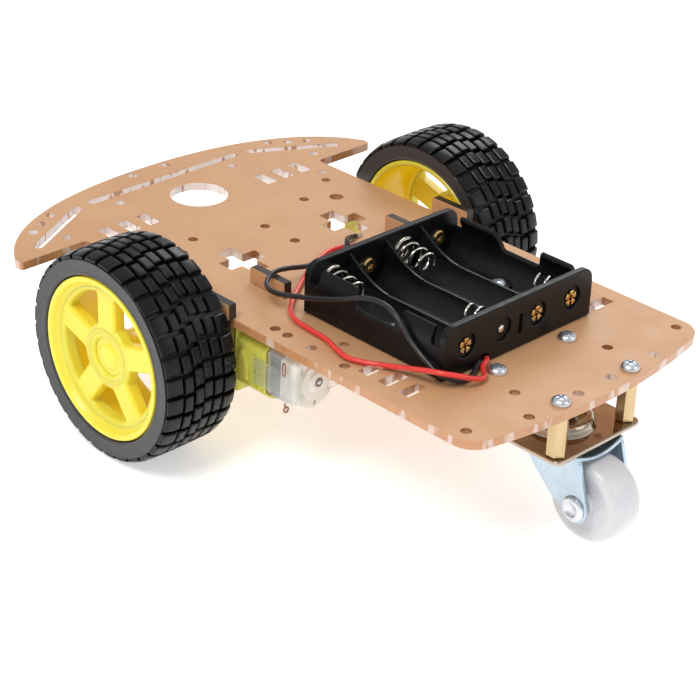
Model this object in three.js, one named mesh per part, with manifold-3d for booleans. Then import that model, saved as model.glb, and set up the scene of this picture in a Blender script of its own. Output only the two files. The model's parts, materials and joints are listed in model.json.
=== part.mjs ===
// Two-wheel robot car kit: a paper-faced acrylic deck carried by two geared motors and a tail caster,
// with an open four-cell battery box on top. Millimetres, +Z up. +X points forward, towards the wide end
// of the deck, and +Y to the car's left. The origin is on the ground under the middle of the car.
// Positions along X are measured from the drive axle, and heights from the ground.

import * as THREE from 'three';
import { mergeVertices } from 'three/addons/utils/BufferGeometryUtils.js';
import Module from 'manifold-3d';

const wasm = await Module();
wasm.setup();

// ---------------------------------------------------------------- driving dimensions

const AXLE_X = 30; // drive axle, ahead of the middle of the car
const GAP = 0.3; // clearance between pieces that rest on or pass through each other

const WHEEL = { radius: 33, halfWidth: 13, centreY: 66.7, rimRadius: 25.6, boreRadius: 3.2 };
const SHAFT_Z = WHEEL.radius;

const DECK = { top: 46.9, thickness: 2.8, tailHalf: 50, tailRadius: 206, cornerRadius: 8 };
const DECK_UNDER = DECK.top - DECK.thickness;
const TAIL_X = -126.3; // rear apex of the deck
const EAR = { x: 46, y: 75.4, rootX: 44, rootY: 50.2 };
const NOSE_X = 77.8;
const HOLE_RADIUS = 1.6;

const MOTOR = {
  centreY: 39.7, halfWidth: 9.1, halfHeight: 11, frontX: 11.2, blockRearX: -26, holderRearX: -38,
};
const MOTOR_SCREW = { x: -18.7, offsetZ: 8.4, shank: 1.35, hole: 1.65, length: 30 };
const NUT = { acrossFlats: 5, thickness: 2.3 };

const BRACKET = { thickness: 3, outerY: 50.6, innerY: 28.8, barFront: -11, barRear: -26.3, barHeight: 5 };
const BRACKET_STEM = { front: -13.3, rear: -24, bottom: 21 };

const BOX = { frontX: -36.2, rearX: -92.6, halfWidth: 31.6, height: 16, wall: 2.2, pitch: 15 };
const BOX_FLOOR = DECK.top + GAP;
const BAY_Y = [1.5, 0.5, -0.5, -1.5].map((step) => step * BOX.pitch);
const CELL = { centreZ: BOX_FLOOR + 8.6, radius: 7.3 };
const CONTACT_Z = BOX_FLOOR + 8.3;
const BOX_SCREW = { x: -64.4, y: BAY_Y[0], counterbore: 3.2 };

const CASTER = { x: -109.75, holeX: 11.65, holeY: 15, axleX: -125.3, wheelRadius: 12.5, wheelHalf: 6.2 };
const CASTER_PLATE = { top: 30.5, thickness: 1.3, halfX: 15.5, halfY: 18.5, raceRadius: 11 };
const STANDOFF = { acrossFlats: 5.2, bore: 1.6 };

const LEAD_RADIUS = 0.8;

// ---------------------------------------------------------------- solids

// A three.js geometry as a manifold solid with its faces pointing out.
function solidOf(geometry) {
  const bare = geometry.clone();
  bare.deleteAttribute('normal');
  bare.deleteAttribute('uv');
  const merged = mergeVertices(bare, 1e-4);
  const points = merged.attributes.position;
  const corners = merged.index;
  const a = new THREE.Vector3();
  const b = new THREE.Vector3();
  const c = new THREE.Vector3();
  const triangles = [];
  let volume = 0;
  for (let i = 0; i < corners.count; i += 3) {
    const [p, q, r] = [corners.getX(i), corners.getX(i + 1), corners.getX(i + 2)];
    if (p === q || q === r || r === p) continue;
    triangles.push([p, q, r]);
    a.fromBufferAttribute(points, p);
    b.fromBufferAttribute(points, q);
    c.fromBufferAttribute(points, r);
    volume += a.dot(b.cross(c));
  }
  const facing = volume < 0 ? triangles.map(([p, q, r]) => [p, r, q]) : triangles;
  return new wasm.Manifold(new wasm.Mesh({
    numProp: 3,
    vertProperties: new Float32Array(points.array),
    triVerts: new Uint32Array(facing.flat()),
  }));
}

function geometryOf(solid) {
  const mesh = solid.getMesh();
  const geometry = new THREE.BufferGeometry();
  geometry.setAttribute('position', new THREE.BufferAttribute(mesh.vertProperties, 3));
  geometry.setIndex(new THREE.BufferAttribute(mesh.triVerts, 1));
  geometry.computeVertexNormals();
  return geometry;
}

const join = (first, ...others) => others.reduce((whole, piece) => whole.add(piece), first);
const cut = (first, ...others) => others.reduce((whole, piece) => whole.subtract(piece), first);

// An outline drawn in the plane across `axis`, extruded from `from` to `to` along it.
// Across X an outline is (y, z), across Y it is (x, z) and across Z it is (x, y).
const ALONG = {
  x: new THREE.Vector3(1, 0, 0), y: new THREE.Vector3(0, 1, 0), z: new THREE.Vector3(0, 0, 1),
};
const AXES = {
  X: new THREE.Matrix4().makeBasis(ALONG.y, ALONG.z, ALONG.x),
  Y: new THREE.Matrix4().makeBasis(ALONG.x, ALONG.z, ALONG.y),
  Z: new THREE.Matrix4(),
};

function prism(axis, outline, from, to, holes = []) {
  const shape = new THREE.Shape(outline);
  shape.holes = holes.map((hole) => new THREE.Path(hole));
  const low = Math.min(from, to);
  const geometry = new THREE.ExtrudeGeometry(shape, { depth: Math.abs(to - from), bevelEnabled: false });
  geometry.translate(0, 0, low);
  geometry.applyMatrix4(AXES[axis]);
  return solidOf(geometry);
}

function block(x0, x1, y0, y1, z0, z1) {
  const geometry = new THREE.BoxGeometry(Math.abs(x1 - x0), Math.abs(y1 - y0), Math.abs(z1 - z0));
  geometry.translate((x0 + x1) / 2, (y0 + y1) / 2, (z0 + z1) / 2);
  return solidOf(geometry);
}

// A profile of [radius, distance along the axis] points turned about an axis through (p, q).
function turned(axis, [p, q], profile, segments) {
  const geometry = new THREE.LatheGeometry(profile.map(([r, h]) => new THREE.Vector2(r, h)), segments);
  geometry.rotateX(Math.PI / 2);
  geometry.translate(p, q, 0);
  geometry.applyMatrix4(AXES[axis]);
  return solidOf(geometry);
}

const closed = (profile) => [...profile, profile[0]];
const at = (x, y) => new THREE.Vector2(x, y);
const polar = (x, y, radius, angle) => at(x + radius * Math.cos(angle), y + radius * Math.sin(angle));

function circle(x, y, radius, sides, turn = 0) {
  const angle = (i) => ((i + turn) / sides) * 2 * Math.PI;
  return Array.from({ length: sides }, (_, i) => polar(x, y, radius, angle(i)));
}

const rod = (axis, x, y, radius, from, to, sides = 10) => prism(axis, circle(x, y, radius, sides), from, to);
const rectangle = (x0, x1, y0, y1) => [at(x0, y0), at(x1, y0), at(x1, y1), at(x0, y1)];

function arc(x, y, radius, from, to, steps) {
  const angle = (i) => from + ((to - from) * i) / steps;
  return Array.from({ length: steps + 1 }, (_, i) => polar(x, y, radius, angle(i)));
}

function slot(x0, y0, x1, y1, width) {
  const heading = Math.atan2(y1 - y0, x1 - x0);
  const quarter = Math.PI / 2;
  return [
    ...arc(x1, y1, width / 2, heading - quarter, heading + quarter, 3),
    ...arc(x0, y0, width / 2, heading + quarter, heading + 3 * quarter, 3),
  ];
}

function plus(x, y, lengthX, lengthY, width) {
  const [a, b, c] = [lengthX / 2, lengthY / 2, width / 2];
  const half = [[a, -c], [a, c], [c, c], [c, b], [-c, b], [-c, c]];
  return [...half, ...half.map(([u, v]) => [-u, -v])]
    .map(([dx, dy]) => at(x + dx, y + dy));
}

// A circle with two flat sides, `halfAcross` from the centre, drawn in the (y, z) plane.
function doubleD(y, z, radius, halfAcross, steps = 5) {
  const flat = Math.asin(Math.sqrt(1 - (halfAcross / radius) ** 2));
  return [
    ...arc(y, z, radius, flat, Math.PI - flat, steps),
    ...arc(y, z, radius, Math.PI + flat, 2 * Math.PI - flat, steps),
  ];
}

// ---------------------------------------------------------------- pieces and their finishes

const car = new THREE.Group();
car.position.x = AXLE_X;

function finish(color, roughness, metalness) {
  return new THREE.MeshStandardMaterial({ color, roughness, metalness });
}

const FINISH = {
  kraft: () => finish(0xdeb28c, 0.8, 0),
  tyre: () => finish(0x323234, 0.75, 0),
  yellow: () => finish(0xf8e032, 0.35, 0),
  gearbox: () => finish(0xd7cd46, 0.4, 0),
  nylon: () => finish(0xececef, 0.4, 0),
  clear: () => finish(0xe6e8e4, 0.3, 0),
  steel: () => finish(0xc4c8cc, 0.35, 0.9),
  zinc: () => finish(0xbed2dc, 0.3, 0.9),
  brass: () => finish(0xdcbe8c, 0.35, 0.9),
  copper: () => finish(0xb87850, 0.35, 0.9),
  black: () => finish(0x1c1c1e, 0.5, 0),
  red: () => finish(0xf0463c, 0.5, 0),
};

// Pieces of the right-hand drive are the left-hand ones mirrored across the middle of the car.
function add(name, material, solid, side = 1) {
  const placed = side > 0 ? solid : solidOf(geometryOf(solid).scale(1, -1, 1));
  const mesh = new THREE.Mesh(geometryOf(placed), material);
  mesh.name = name;
  car.add(mesh);
}

// ---------------------------------------------------------------- deck

const ON_BOTH_SIDES = [1, -1];

function deckOutline() {
  const nose = new THREE.CubicBezierCurve(at(NOSE_X, 0), at(NOSE_X, 41.2), at(65.2, 66.5), at(EAR.x, EAR.y));
  const tailCentre = TAIL_X + DECK.tailRadius;
  const cornerY = DECK.tailHalf - DECK.cornerRadius;
  const cornerX = tailCentre - Math.sqrt((DECK.tailRadius - DECK.cornerRadius) ** 2 - cornerY ** 2);
  const tangent = Math.atan2(cornerY, cornerX - tailCentre);
  const corner = arc(cornerX, cornerY, DECK.cornerRadius, Math.PI / 2, tangent, 5);
  const tail = arc(tailCentre, 0, DECK.tailRadius, tangent, Math.PI, 7).slice(1, -1);
  const half = [
    ...nose.getPoints(11).slice(1),
    at(EAR.rootX + 0.6, EAR.y - 0.2),
    at(EAR.rootX, EAR.y - 0.9),
    at(EAR.rootX, EAR.rootY),
    at(EAR.rootX - 0.2, DECK.tailHalf),
    ...corner,
    ...tail,
  ];
  return [at(NOSE_X, 0), ...half, at(TAIL_X, 0), ...half.map((point) => at(point.x, -point.y)).reverse()];
}

const PAIRED_HOLES = [
  [74.7, 7.1], [59.9, 24.1], [66.7, 47.2], [63, 53], [59.7, 59], [49.6, 53], [23.2, 23.9], [35.9, 44],
  [30, 40.5], [-38.4, 44.7], [-43.7, 44.7], [-53.9, 44.7], [-58.3, 36.3], [-67.6, 44.9],
  [-109.1, 20], [-120.5, 27], [-121, 7], [-114.4, 45.3],
];
const MIDDLE_HOLES = [15.8, 1.8];
const MARKER_HOLE = { x: 17.8, y: 33.4, radius: 2.4 };
const CABLE_HOLE = { x: 48.5, radius: 9.6 };
const FRONT_SLOTS = { x: 44, lengthX: 8, lengthY: 4, rows: [25.3, 33, 40.8] };
const REAR_SLOTS = { y: 40.1, lengthX: 4, lengthY: 8, columns: [-73.9, -81.8, -89.7] };
const PLUS_HOLE = { x: 1.8, y: 21.8, lengthX: 17.5, lengthY: 14.6, width: 6 };
const NOSE_SLOT = { x: 66.2, halfLength: 30.4, width: 3.2 };
const EAR_SLOT = { from: [65, 37.5], to: [50.5, 63.8], width: 3.2 };

function deckHoles() {
  const hole = (x, y, radius = HOLE_RADIUS) => circle(x, y, radius, 6, 0.5);
  const window = (x, y, lengthX, lengthY) =>
    rectangle(x - lengthX / 2, x + lengthX / 2, y - lengthY / 2, y + lengthY / 2);
  const holes = [
    circle(CABLE_HOLE.x, 0, CABLE_HOLE.radius, 22),
    slot(NOSE_SLOT.x, -NOSE_SLOT.halfLength, NOSE_SLOT.x, NOSE_SLOT.halfLength, NOSE_SLOT.width),
    ...MIDDLE_HOLES.map((x) => hole(x, 0)),
  ];
  for (const side of ON_BOTH_SIDES) {
    const [innerEdge, outerEdge] = [-1, 1].map((s) => BRACKET.innerY + s * (BRACKET.thickness / 2 + GAP));
    holes.push(
      ...PAIRED_HOLES.map(([x, y]) => hole(x, side * y)),
      hole(MARKER_HOLE.x, side * MARKER_HOLE.y, MARKER_HOLE.radius),
      ...FRONT_SLOTS.rows.map(
        (y) => window(FRONT_SLOTS.x, side * y, FRONT_SLOTS.lengthX, FRONT_SLOTS.lengthY),
      ),
      ...REAR_SLOTS.columns.map(
        (x) => window(x, side * REAR_SLOTS.y, REAR_SLOTS.lengthX, REAR_SLOTS.lengthY),
      ),
      plus(PLUS_HOLE.x, side * PLUS_HOLE.y, PLUS_HOLE.lengthX, PLUS_HOLE.lengthY, PLUS_HOLE.width),
      slot(EAR_SLOT.from[0], side * EAR_SLOT.from[1], EAR_SLOT.to[0], side * EAR_SLOT.to[1], EAR_SLOT.width),
      rectangle(BRACKET_STEM.rear - GAP, BRACKET_STEM.front + GAP, side * innerEdge, side * outerEdge),
      hole(BOX_SCREW.x, side * BOX_SCREW.y),
      ...ON_BOTH_SIDES.map((end) => hole(CASTER.x + end * CASTER.holeX, side * CASTER.holeY)),
    );
  }
  return holes;
}

function deck() {
  const notchY = BRACKET.outerY - BRACKET.thickness / 2 - GAP;
  const notches = ON_BOTH_SIDES.map((side) =>
    block(BRACKET_STEM.rear - GAP, BRACKET_STEM.front + GAP, side * notchY, side * (notchY + 8), 0,
      DECK.top + 1));
  const holes = deckHoles().map((outline) => prism('Z', outline, DECK_UNDER - 1, DECK.top + 1));
  return cut(prism('Z', deckOutline(), DECK_UNDER, DECK.top), ...holes, ...notches);
}

add('chassis_plate', FINISH.kraft(), deck());

// ---------------------------------------------------------------- screws and nuts

// A pan-head machine screw along `axis`, head first, with an optional hexagon nut run onto its shank.
// `seat` is where the underside of the head sits and `way` is the direction the shank points in.
function screw(axis, x, y, seat, way, { head, headHeight, shank, length, nutAt = null }) {
  const dome = [[0, -headHeight], [head * 0.7, -headHeight], [head, -headHeight * 0.4], [head, 0]];
  const profile = [...dome, [shank, 0], [shank, length], [0, length]];
  const body = turned(axis, [x, y], profile.map(([r, h]) => [r, seat + way * h]), 8);
  if (nutAt === null) return body;
  const nut = circle(x, y, NUT.acrossFlats / Math.sqrt(3), 6);
  return join(body, prism(axis, nut, nutAt, nutAt + way * NUT.thickness));
}

// ---------------------------------------------------------------- wheels

function tyre() {
  const inner = WHEEL.rimRadius + GAP;
  const { radius, halfWidth, centreY } = WHEEL;
  const profile = [
    [inner, -halfWidth], [radius - 1.4, -halfWidth], [radius, -halfWidth + 1.4],
    [radius, halfWidth - 1.4], [radius - 1.4, halfWidth], [inner, halfWidth],
  ];
  return turned('Y', [0, SHAFT_Z], closed(profile.map(([r, w]) => [r, centreY + w])), 32);
}

const RIM = { barrelInner: 23, webInner: 4, webOuter: 8, hubRadius: 9.2, recess: 7.4, bossRadius: 5.2 };

function spokeStar() {
  const points = [];
  for (let spoke = 0; spoke < 5; spoke += 1) {
    const heading = ((spoke + 0.25) / 5) * 2 * Math.PI;
    const side = (distance, half) => [Math.hypot(distance, half), Math.atan2(half, distance)];
    const [outer, outerTurn] = side(24.2, 3.6);
    const [root, rootTurn] = side(8, 2.9);
    const corners = [[root, -rootTurn], [outer, -outerTurn], [outer, outerTurn], [root, rootTurn]];
    for (const [radius, turn] of corners) {
      points.push(at(radius * Math.cos(heading + turn), SHAFT_Z + radius * Math.sin(heading + turn)));
    }
  }
  return points;
}

function wheelRim() {
  const { centreY, rimRadius, halfWidth, boreRadius } = WHEEL;
  const face = centreY + halfWidth - 0.3;
  const back = centreY - halfWidth + 0.6;
  const barrel = turned('Y', [0, SHAFT_Z], closed([
    [rimRadius, back], [rimRadius, face], [rimRadius - 1.4, face],
    [RIM.barrelInner, face - 3.4], [RIM.barrelInner, back],
  ]), 32);
  const star = prism('Y', spokeStar(), centreY + RIM.webInner, centreY + RIM.webOuter);
  const hub = turned('Y', [0, SHAFT_Z], [
    [0, back], [RIM.bossRadius, back], [RIM.bossRadius, centreY + RIM.webInner - 2.5],
    [RIM.hubRadius, centreY + RIM.webInner], [RIM.hubRadius, centreY + RIM.webOuter + 0.8],
    [RIM.recess, centreY + RIM.webOuter + 0.8], [RIM.recess - 0.6, centreY + RIM.webOuter - 2.4],
    [4, centreY + RIM.webOuter - 2.4], [3, centreY + RIM.webOuter - 0.6], [0, centreY + RIM.webOuter - 0.2],
  ], 14);
  const bore = rod('Y', 0, SHAFT_Z, boreRadius, back - 1, SHAFT.outerEnd + GAP, 12);
  return cut(join(barrel, star, hub), bore);
}

// ---------------------------------------------------------------- gear trains

// Layers are measured across the motor from its middle plane, positive outboard.
const layer = (across) => MOTOR.centreY + across;

const SHAFT = { radius: 2.7, halfFlats: 1.85, outerEnd: layer(18.4), innerEnd: layer(-18.4) };
const TOOTH = { addendum: 0.15, dedendum: 0.5 };
const PITCH_RADIUS = { output: 7.2, reduction: 5.4, crown: 5.6, pinion: 1.8, motorPinion: 1.4 };
const TEETH = { output: 24, reduction: 18, crown: 24, pinion: 6 };
const REDUCTION_X = -(PITCH_RADIUS.output + PITCH_RADIUS.pinion);
const CROWN_X = REDUCTION_X - (PITCH_RADIUS.reduction + PITCH_RADIUS.pinion);
const HALF_PINION_TOOTH = Math.PI / TEETH.pinion;
const PIN_RADIUS = 0.7;
const PIN_BORE = 1;

// Straight-sided gear teeth; `firstTooth` is the angle of the middle of one tooth.
function gearOutline(x, y, teeth, pitchRadius, firstTooth) {
  const [root, tip] = [pitchRadius - TOOTH.dedendum, pitchRadius + TOOTH.addendum];
  const step = (2 * Math.PI) / teeth;
  const corners = [[root, -0.5], [tip, -0.14], [tip, 0.14]];
  const points = [];
  for (let tooth = 0; tooth < teeth; tooth += 1) {
    for (const [radius, share] of corners) {
      const angle = firstTooth + (tooth + share) * step;
      points.push(at(x + radius * Math.cos(angle), y + radius * Math.sin(angle)));
    }
  }
  return points;
}

function gear(x, teeth, pitchRadius, firstTooth, from, to) {
  return prism('Y', gearOutline(x, SHAFT_Z, teeth, pitchRadius, firstTooth), layer(from), layer(to));
}

function outputGear() {
  const flats = [-1, 1].map((way) => way * SHAFT.halfFlats);
  const round = rod('Y', 0, SHAFT_Z, SHAFT.radius, SHAFT.innerEnd, SHAFT.outerEnd, 12);
  const trims = ON_BOTH_SIDES.flatMap((end) => flats.map((x) =>
    block(x, x * 3, MOTOR.centreY + end * 10.5, MOTOR.centreY + end * 20, SHAFT_Z - 5, SHAFT_Z + 5)));
  return join(cut(round, ...trims), gear(0, TEETH.output, PITCH_RADIUS.output, 0, 3.4, 6.9));
}

function reductionGear() {
  const wheel = gear(REDUCTION_X, TEETH.reduction, PITCH_RADIUS.reduction, 0, 0.5, 2.9);
  const pinion = gear(REDUCTION_X, TEETH.pinion, PITCH_RADIUS.pinion, HALF_PINION_TOOTH, 2.5, 6.9);
  return cut(join(wheel, pinion), rod('Y', REDUCTION_X, SHAFT_Z, PIN_BORE, layer(0), layer(8), 6));
}

function crownGear() {
  const { crown } = PITCH_RADIUS;
  const disc = rod('Y', CROWN_X, SHAFT_Z, crown + 0.5, layer(-4.4), layer(-2.4), 24);
  const pinion = gear(CROWN_X, TEETH.pinion, PITCH_RADIUS.pinion, HALF_PINION_TOOTH, -2.6, 2.9);
  const teeth = [];
  for (let tooth = 0; tooth < TEETH.crown; tooth += 1) {
    const face = new THREE.BoxGeometry(1.2, 1.4, 0.36);
    face.translate(-crown, layer(-1.9), 0);
    face.rotateY((tooth / TEETH.crown) * 2 * Math.PI);
    face.translate(CROWN_X, 0, SHAFT_Z);
    teeth.push(solidOf(face));
  }
  return cut(join(disc, pinion, ...teeth), rod('Y', CROWN_X, SHAFT_Z, PIN_BORE, layer(-5), layer(4), 6));
}

const ROTOR = {
  radius: 5.8, frontX: -30, rearX: -41, shaftRadius: 1, shaftEnd: -51.8,
  pinionFront: -20.4, pinionRear: -24.6,
};

function motorRotor() {
  const shaftFront = ROTOR.pinionFront - 0.5;
  const shaft = rod('X', MOTOR.centreY, SHAFT_Z, ROTOR.shaftRadius, ROTOR.shaftEnd, shaftFront, 6);
  const armature = rod('X', MOTOR.centreY, SHAFT_Z, ROTOR.radius, ROTOR.rearX, ROTOR.frontX, 10);
  const pinion = gearOutline(MOTOR.centreY, SHAFT_Z, TEETH.pinion, PITCH_RADIUS.motorPinion,
    Math.PI + HALF_PINION_TOOTH);
  return join(shaft, armature, prism('X', pinion, ROTOR.pinionRear, ROTOR.pinionFront));
}

// ---------------------------------------------------------------- gear cases and motors

const HOLDER = { radius: 11, halfAcross: 8.7, boreRadius: 10.3, boreHalf: 7.8 };
const CAN = { radius: 10, halfAcross: 7.5, wall: 0.8, frontX: -27, rearX: -44 };
const CASE_WALL = 1.5;

function gearCase() {
  const { centreY, halfWidth, halfHeight, frontX, blockRearX, holderRearX } = MOTOR;
  const [bottom, top] = [SHAFT_Z - halfHeight, SHAFT_Z + halfHeight];
  const chamfer = 1.8;
  const side = [
    at(blockRearX, bottom), at(frontX - chamfer, bottom), at(frontX, bottom + chamfer),
    at(frontX, top - chamfer), at(frontX - chamfer, top), at(blockRearX, top),
  ];
  const body = prism('Y', side, centreY - halfWidth, centreY + halfWidth);
  const holderOutline = doubleD(centreY, SHAFT_Z, HOLDER.radius, HOLDER.halfAcross);
  const holder = prism('X', holderOutline, holderRearX, blockRearX + 1);
  const nib = block(frontX - 1, frontX + 4.8, centreY - 1.5, centreY + 1.5, SHAFT_Z - 2.5, SHAFT_Z + 2.5);
  const across = halfWidth - CASE_WALL;
  const room = block(blockRearX + CASE_WALL, frontX - CASE_WALL, centreY - across, centreY + across,
    bottom + CASE_WALL, top - CASE_WALL);
  const bore = prism('X', doubleD(centreY, SHAFT_Z, HOLDER.boreRadius, HOLDER.boreHalf),
    holderRearX - 1, blockRearX - 0.3);
  const nose = rod('X', centreY, SHAFT_Z, 3.6, blockRearX - 1, blockRearX + CASE_WALL + 1, 12);
  const shaftHole = rod('Y', 0, SHAFT_Z, SHAFT.radius + 0.4, centreY - 15, centreY + 15, 12);
  const nibHole = rod('Y', frontX + 2.6, SHAFT_Z, 1.3, centreY - 3, centreY + 3, 6);
  const hollow = cut(join(body, holder, nib), room, bore, nose, shaftHole, nibHole);
  const screws = [1, -1].map((end) => SHAFT_Z + end * MOTOR_SCREW.offsetZ);
  const posts = screws.map(
    (z) => rod('Y', MOTOR_SCREW.x, z, 2.6, centreY - halfWidth + 1, centreY + halfWidth - 1, 8)
      .intersect(body),
  );
  const holes = screws.map(
    (z) => rod('Y', MOTOR_SCREW.x, z, MOTOR_SCREW.hole, centreY - 20, centreY + 20, 8),
  );
  return cut(join(hollow, ...posts), ...holes);
}

function caseHalf(side) {
  const { centreY } = MOTOR;
  const half = block(-60, 30, centreY + side * GAP / 2, centreY + side * 20, 0, 60);
  const shell = gearCase().intersect(half);
  if (side > 0) return shell;
  const pins = [[REDUCTION_X, 6.9], [CROWN_X, 6.9]].map(([x, end]) =>
    rod('Y', x, SHAFT_Z, PIN_RADIUS, layer(-8.4), layer(end), 8));
  return join(shell, ...pins);
}

function motorCan() {
  const { centreY } = MOTOR;
  const outer = prism('X', doubleD(centreY, SHAFT_Z, CAN.radius, CAN.halfAcross), CAN.rearX, CAN.frontX);
  const nose = rod('X', centreY, SHAFT_Z, 3, CAN.frontX - 0.5, CAN.frontX + 1.6, 12);
  const inner = doubleD(centreY, SHAFT_Z, CAN.radius - CAN.wall, CAN.halfAcross - CAN.wall);
  const hollow = prism('X', inner, CAN.rearX - 1, CAN.frontX - CAN.wall);
  return cut(join(outer, nose), hollow, rod('X', centreY, SHAFT_Z, 1.4, CAN.frontX - 3, CAN.frontX + 3, 8));
}

const END_CAP = {
  frontX: CAN.rearX - GAP, stepX: -49.2, rearX: -50.4, bossX: -52, bossRadius: 3.2,
  faceRadius: 9, faceHalf: 6.8,
};
const STRAP = { halfHeight: 4.2, thickness: 0.7, frontX: -33.6, inner: 9 };

function motorEndCap() {
  const { centreY } = MOTOR;
  const bodyOutline = doubleD(centreY, SHAFT_Z, CAN.radius, CAN.halfAcross);
  const body = prism('X', bodyOutline, END_CAP.stepX, END_CAP.frontX);
  const face = prism('X', doubleD(centreY, SHAFT_Z, END_CAP.faceRadius, END_CAP.faceHalf),
    END_CAP.rearX, END_CAP.stepX + 0.5);
  const boss = rod('X', centreY, SHAFT_Z, END_CAP.bossRadius, END_CAP.bossX, END_CAP.rearX + 0.5, 12);
  return cut(join(body, face, boss), rod('X', centreY, SHAFT_Z, 1.4, -60, -40, 8));
}

// The clear strap hooks over the case latches and passes round the back of the motor.
function motorStrap() {
  const { centreY } = MOTOR;
  const outer = STRAP.inner + STRAP.thickness;
  const rear = END_CAP.rearX - GAP;
  const [low, high] = [SHAFT_Z - STRAP.halfHeight, SHAFT_Z + STRAP.halfHeight];
  const band = block(rear - STRAP.thickness, STRAP.frontX, centreY - outer, centreY + outer, low, high);
  const [left, right] = [centreY - STRAP.inner, centreY + STRAP.inner];
  const inside = block(rear, STRAP.frontX + 1, left, right, low - 1, high + 1);
  const bossHole = rod('X', centreY, SHAFT_Z, END_CAP.bossRadius + GAP, rear - 2, rear + 1, 12);
  const tabWindow = block(-48.2, -44.6, right - 1, centreY + outer + 1, SHAFT_Z + 1.6, high + 1);
  return cut(band, inside, bossHole, tabWindow);
}

const TERMINAL = {
  x: -46.4, halfSlot: 0.25, halfStrip: 0.3, ringOffsetY: 7.6, ringDrop: 8.8, ringRadius: 1.3, eyeRadius: 0.6,
};

// A solder tab: a flat strip bent into a loop, standing off the end cap.
function sideTerminal() {
  const face = MOTOR.centreY + CAN.halfAcross + GAP;
  const { x, halfSlot } = TERMINAL;
  const tab = block(x - 0.9, x + 0.9, face, face + 1.6, SHAFT_Z + 2.4, SHAFT_Z + 7);
  return cut(tab, block(x - halfSlot, x + halfSlot, face - 1, face + 2, SHAFT_Z + 1, SHAFT_Z + 6.2));
}

// The other tab comes down the flat side of the end cap and ends in a ring under its lower edge.
function lowerTerminal() {
  const { x, halfStrip, ringOffsetY, ringDrop, ringRadius, eyeRadius } = TERMINAL;
  const [ringY, ringZ] = [MOTOR.centreY + ringOffsetY, SHAFT_Z - ringDrop];
  const face = MOTOR.centreY + CAN.halfAcross + GAP;
  const ring = rod('X', ringY, ringZ, ringRadius, x - halfStrip, x + halfStrip, 10);
  const stem = block(x - halfStrip, x + halfStrip, face, face + 2 * halfStrip, ringZ + 0.8, ringZ + 3.6);
  return cut(join(ring, stem), rod('X', ringY, ringZ, eyeRadius, x - 2, x + 2, 8));
}

// ---------------------------------------------------------------- motor brackets

function bracket(middleY) {
  const barBottom = DECK.top + GAP;
  const outline = [
    at(BRACKET.barRear, barBottom), at(BRACKET_STEM.rear, barBottom),
    at(BRACKET_STEM.rear, BRACKET_STEM.bottom), at(BRACKET_STEM.front, BRACKET_STEM.bottom),
    at(BRACKET_STEM.front, barBottom), at(BRACKET.barFront, barBottom),
    at(BRACKET.barFront, barBottom + BRACKET.barHeight), at(BRACKET.barRear, barBottom + BRACKET.barHeight),
  ];
  const holes = [1, -1].map(
    (end) => circle(MOTOR_SCREW.x, SHAFT_Z + end * MOTOR_SCREW.offsetZ, MOTOR_SCREW.hole, 10),
  );
  return prism('Y', outline, middleY - BRACKET.thickness / 2, middleY + BRACKET.thickness / 2, holes);
}

function motorScrew(z) {
  const seat = BRACKET.outerY + BRACKET.thickness / 2 + GAP;
  const nutAt = BRACKET.innerY - BRACKET.thickness / 2 - GAP;
  return screw('Y', MOTOR_SCREW.x, z, seat, -1,
    { head: 2.8, headHeight: 2, shank: MOTOR_SCREW.shank, length: MOTOR_SCREW.length, nutAt });
}

// ---------------------------------------------------------------- both drives

for (const [name, side] of [['left', 1], ['right', -1]]) {
  add(`tyre_${name}`, FINISH.tyre(), tyre(), side);
  add(`wheel_rim_${name}`, FINISH.yellow(), wheelRim(), side);
  add(`output_gear_${name}`, FINISH.nylon(), outputGear(), side);
  add(`reduction_gear_${name}`, FINISH.nylon(), reductionGear(), side);
  add(`crown_gear_${name}`, FINISH.nylon(), crownGear(), side);
  add(`motor_rotor_${name}`, FINISH.steel(), motorRotor(), side);
  add(`gearbox_cover_${name}`, FINISH.gearbox(), caseHalf(1), side);
  add(`gearbox_case_${name}`, FINISH.gearbox(), caseHalf(-1), side);
  add(`motor_can_${name}`, FINISH.steel(), motorCan(), side);
  add(`motor_end_cap_${name}`, FINISH.clear(), motorEndCap(), side);
  add(`motor_strap_${name}`, FINISH.clear(), motorStrap(), side);
  add(`motor_terminal_side_${name}`, FINISH.copper(), sideTerminal(), side);
  add(`motor_terminal_lower_${name}`, FINISH.copper(), lowerTerminal(), side);
  add(`bracket_outer_${name}`, FINISH.kraft(), bracket(BRACKET.outerY), side);
  add(`bracket_inner_${name}`, FINISH.kraft(), bracket(BRACKET.innerY), side);
  add(`bracket_screw_upper_${name}`, FINISH.zinc(), motorScrew(SHAFT_Z + MOTOR_SCREW.offsetZ), side);
  add(`bracket_screw_lower_${name}`, FINISH.zinc(), motorScrew(SHAFT_Z - MOTOR_SCREW.offsetZ), side);
}

// ---------------------------------------------------------------- battery box

const LIP = { outer: 9.1, inner: 7.6, angle: 0.72, cutFrontX: -56.5, cutRearX: -73, endGap: 3.4 };
const LEAD_EXIT = { y: 15.5, halfWidth: 2.7, height: 2.9 };
const RIVET = { head: 2.5, shank: 1.1, hole: 1.4, recess: 3.7, recessDepth: 0.8 };

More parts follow.
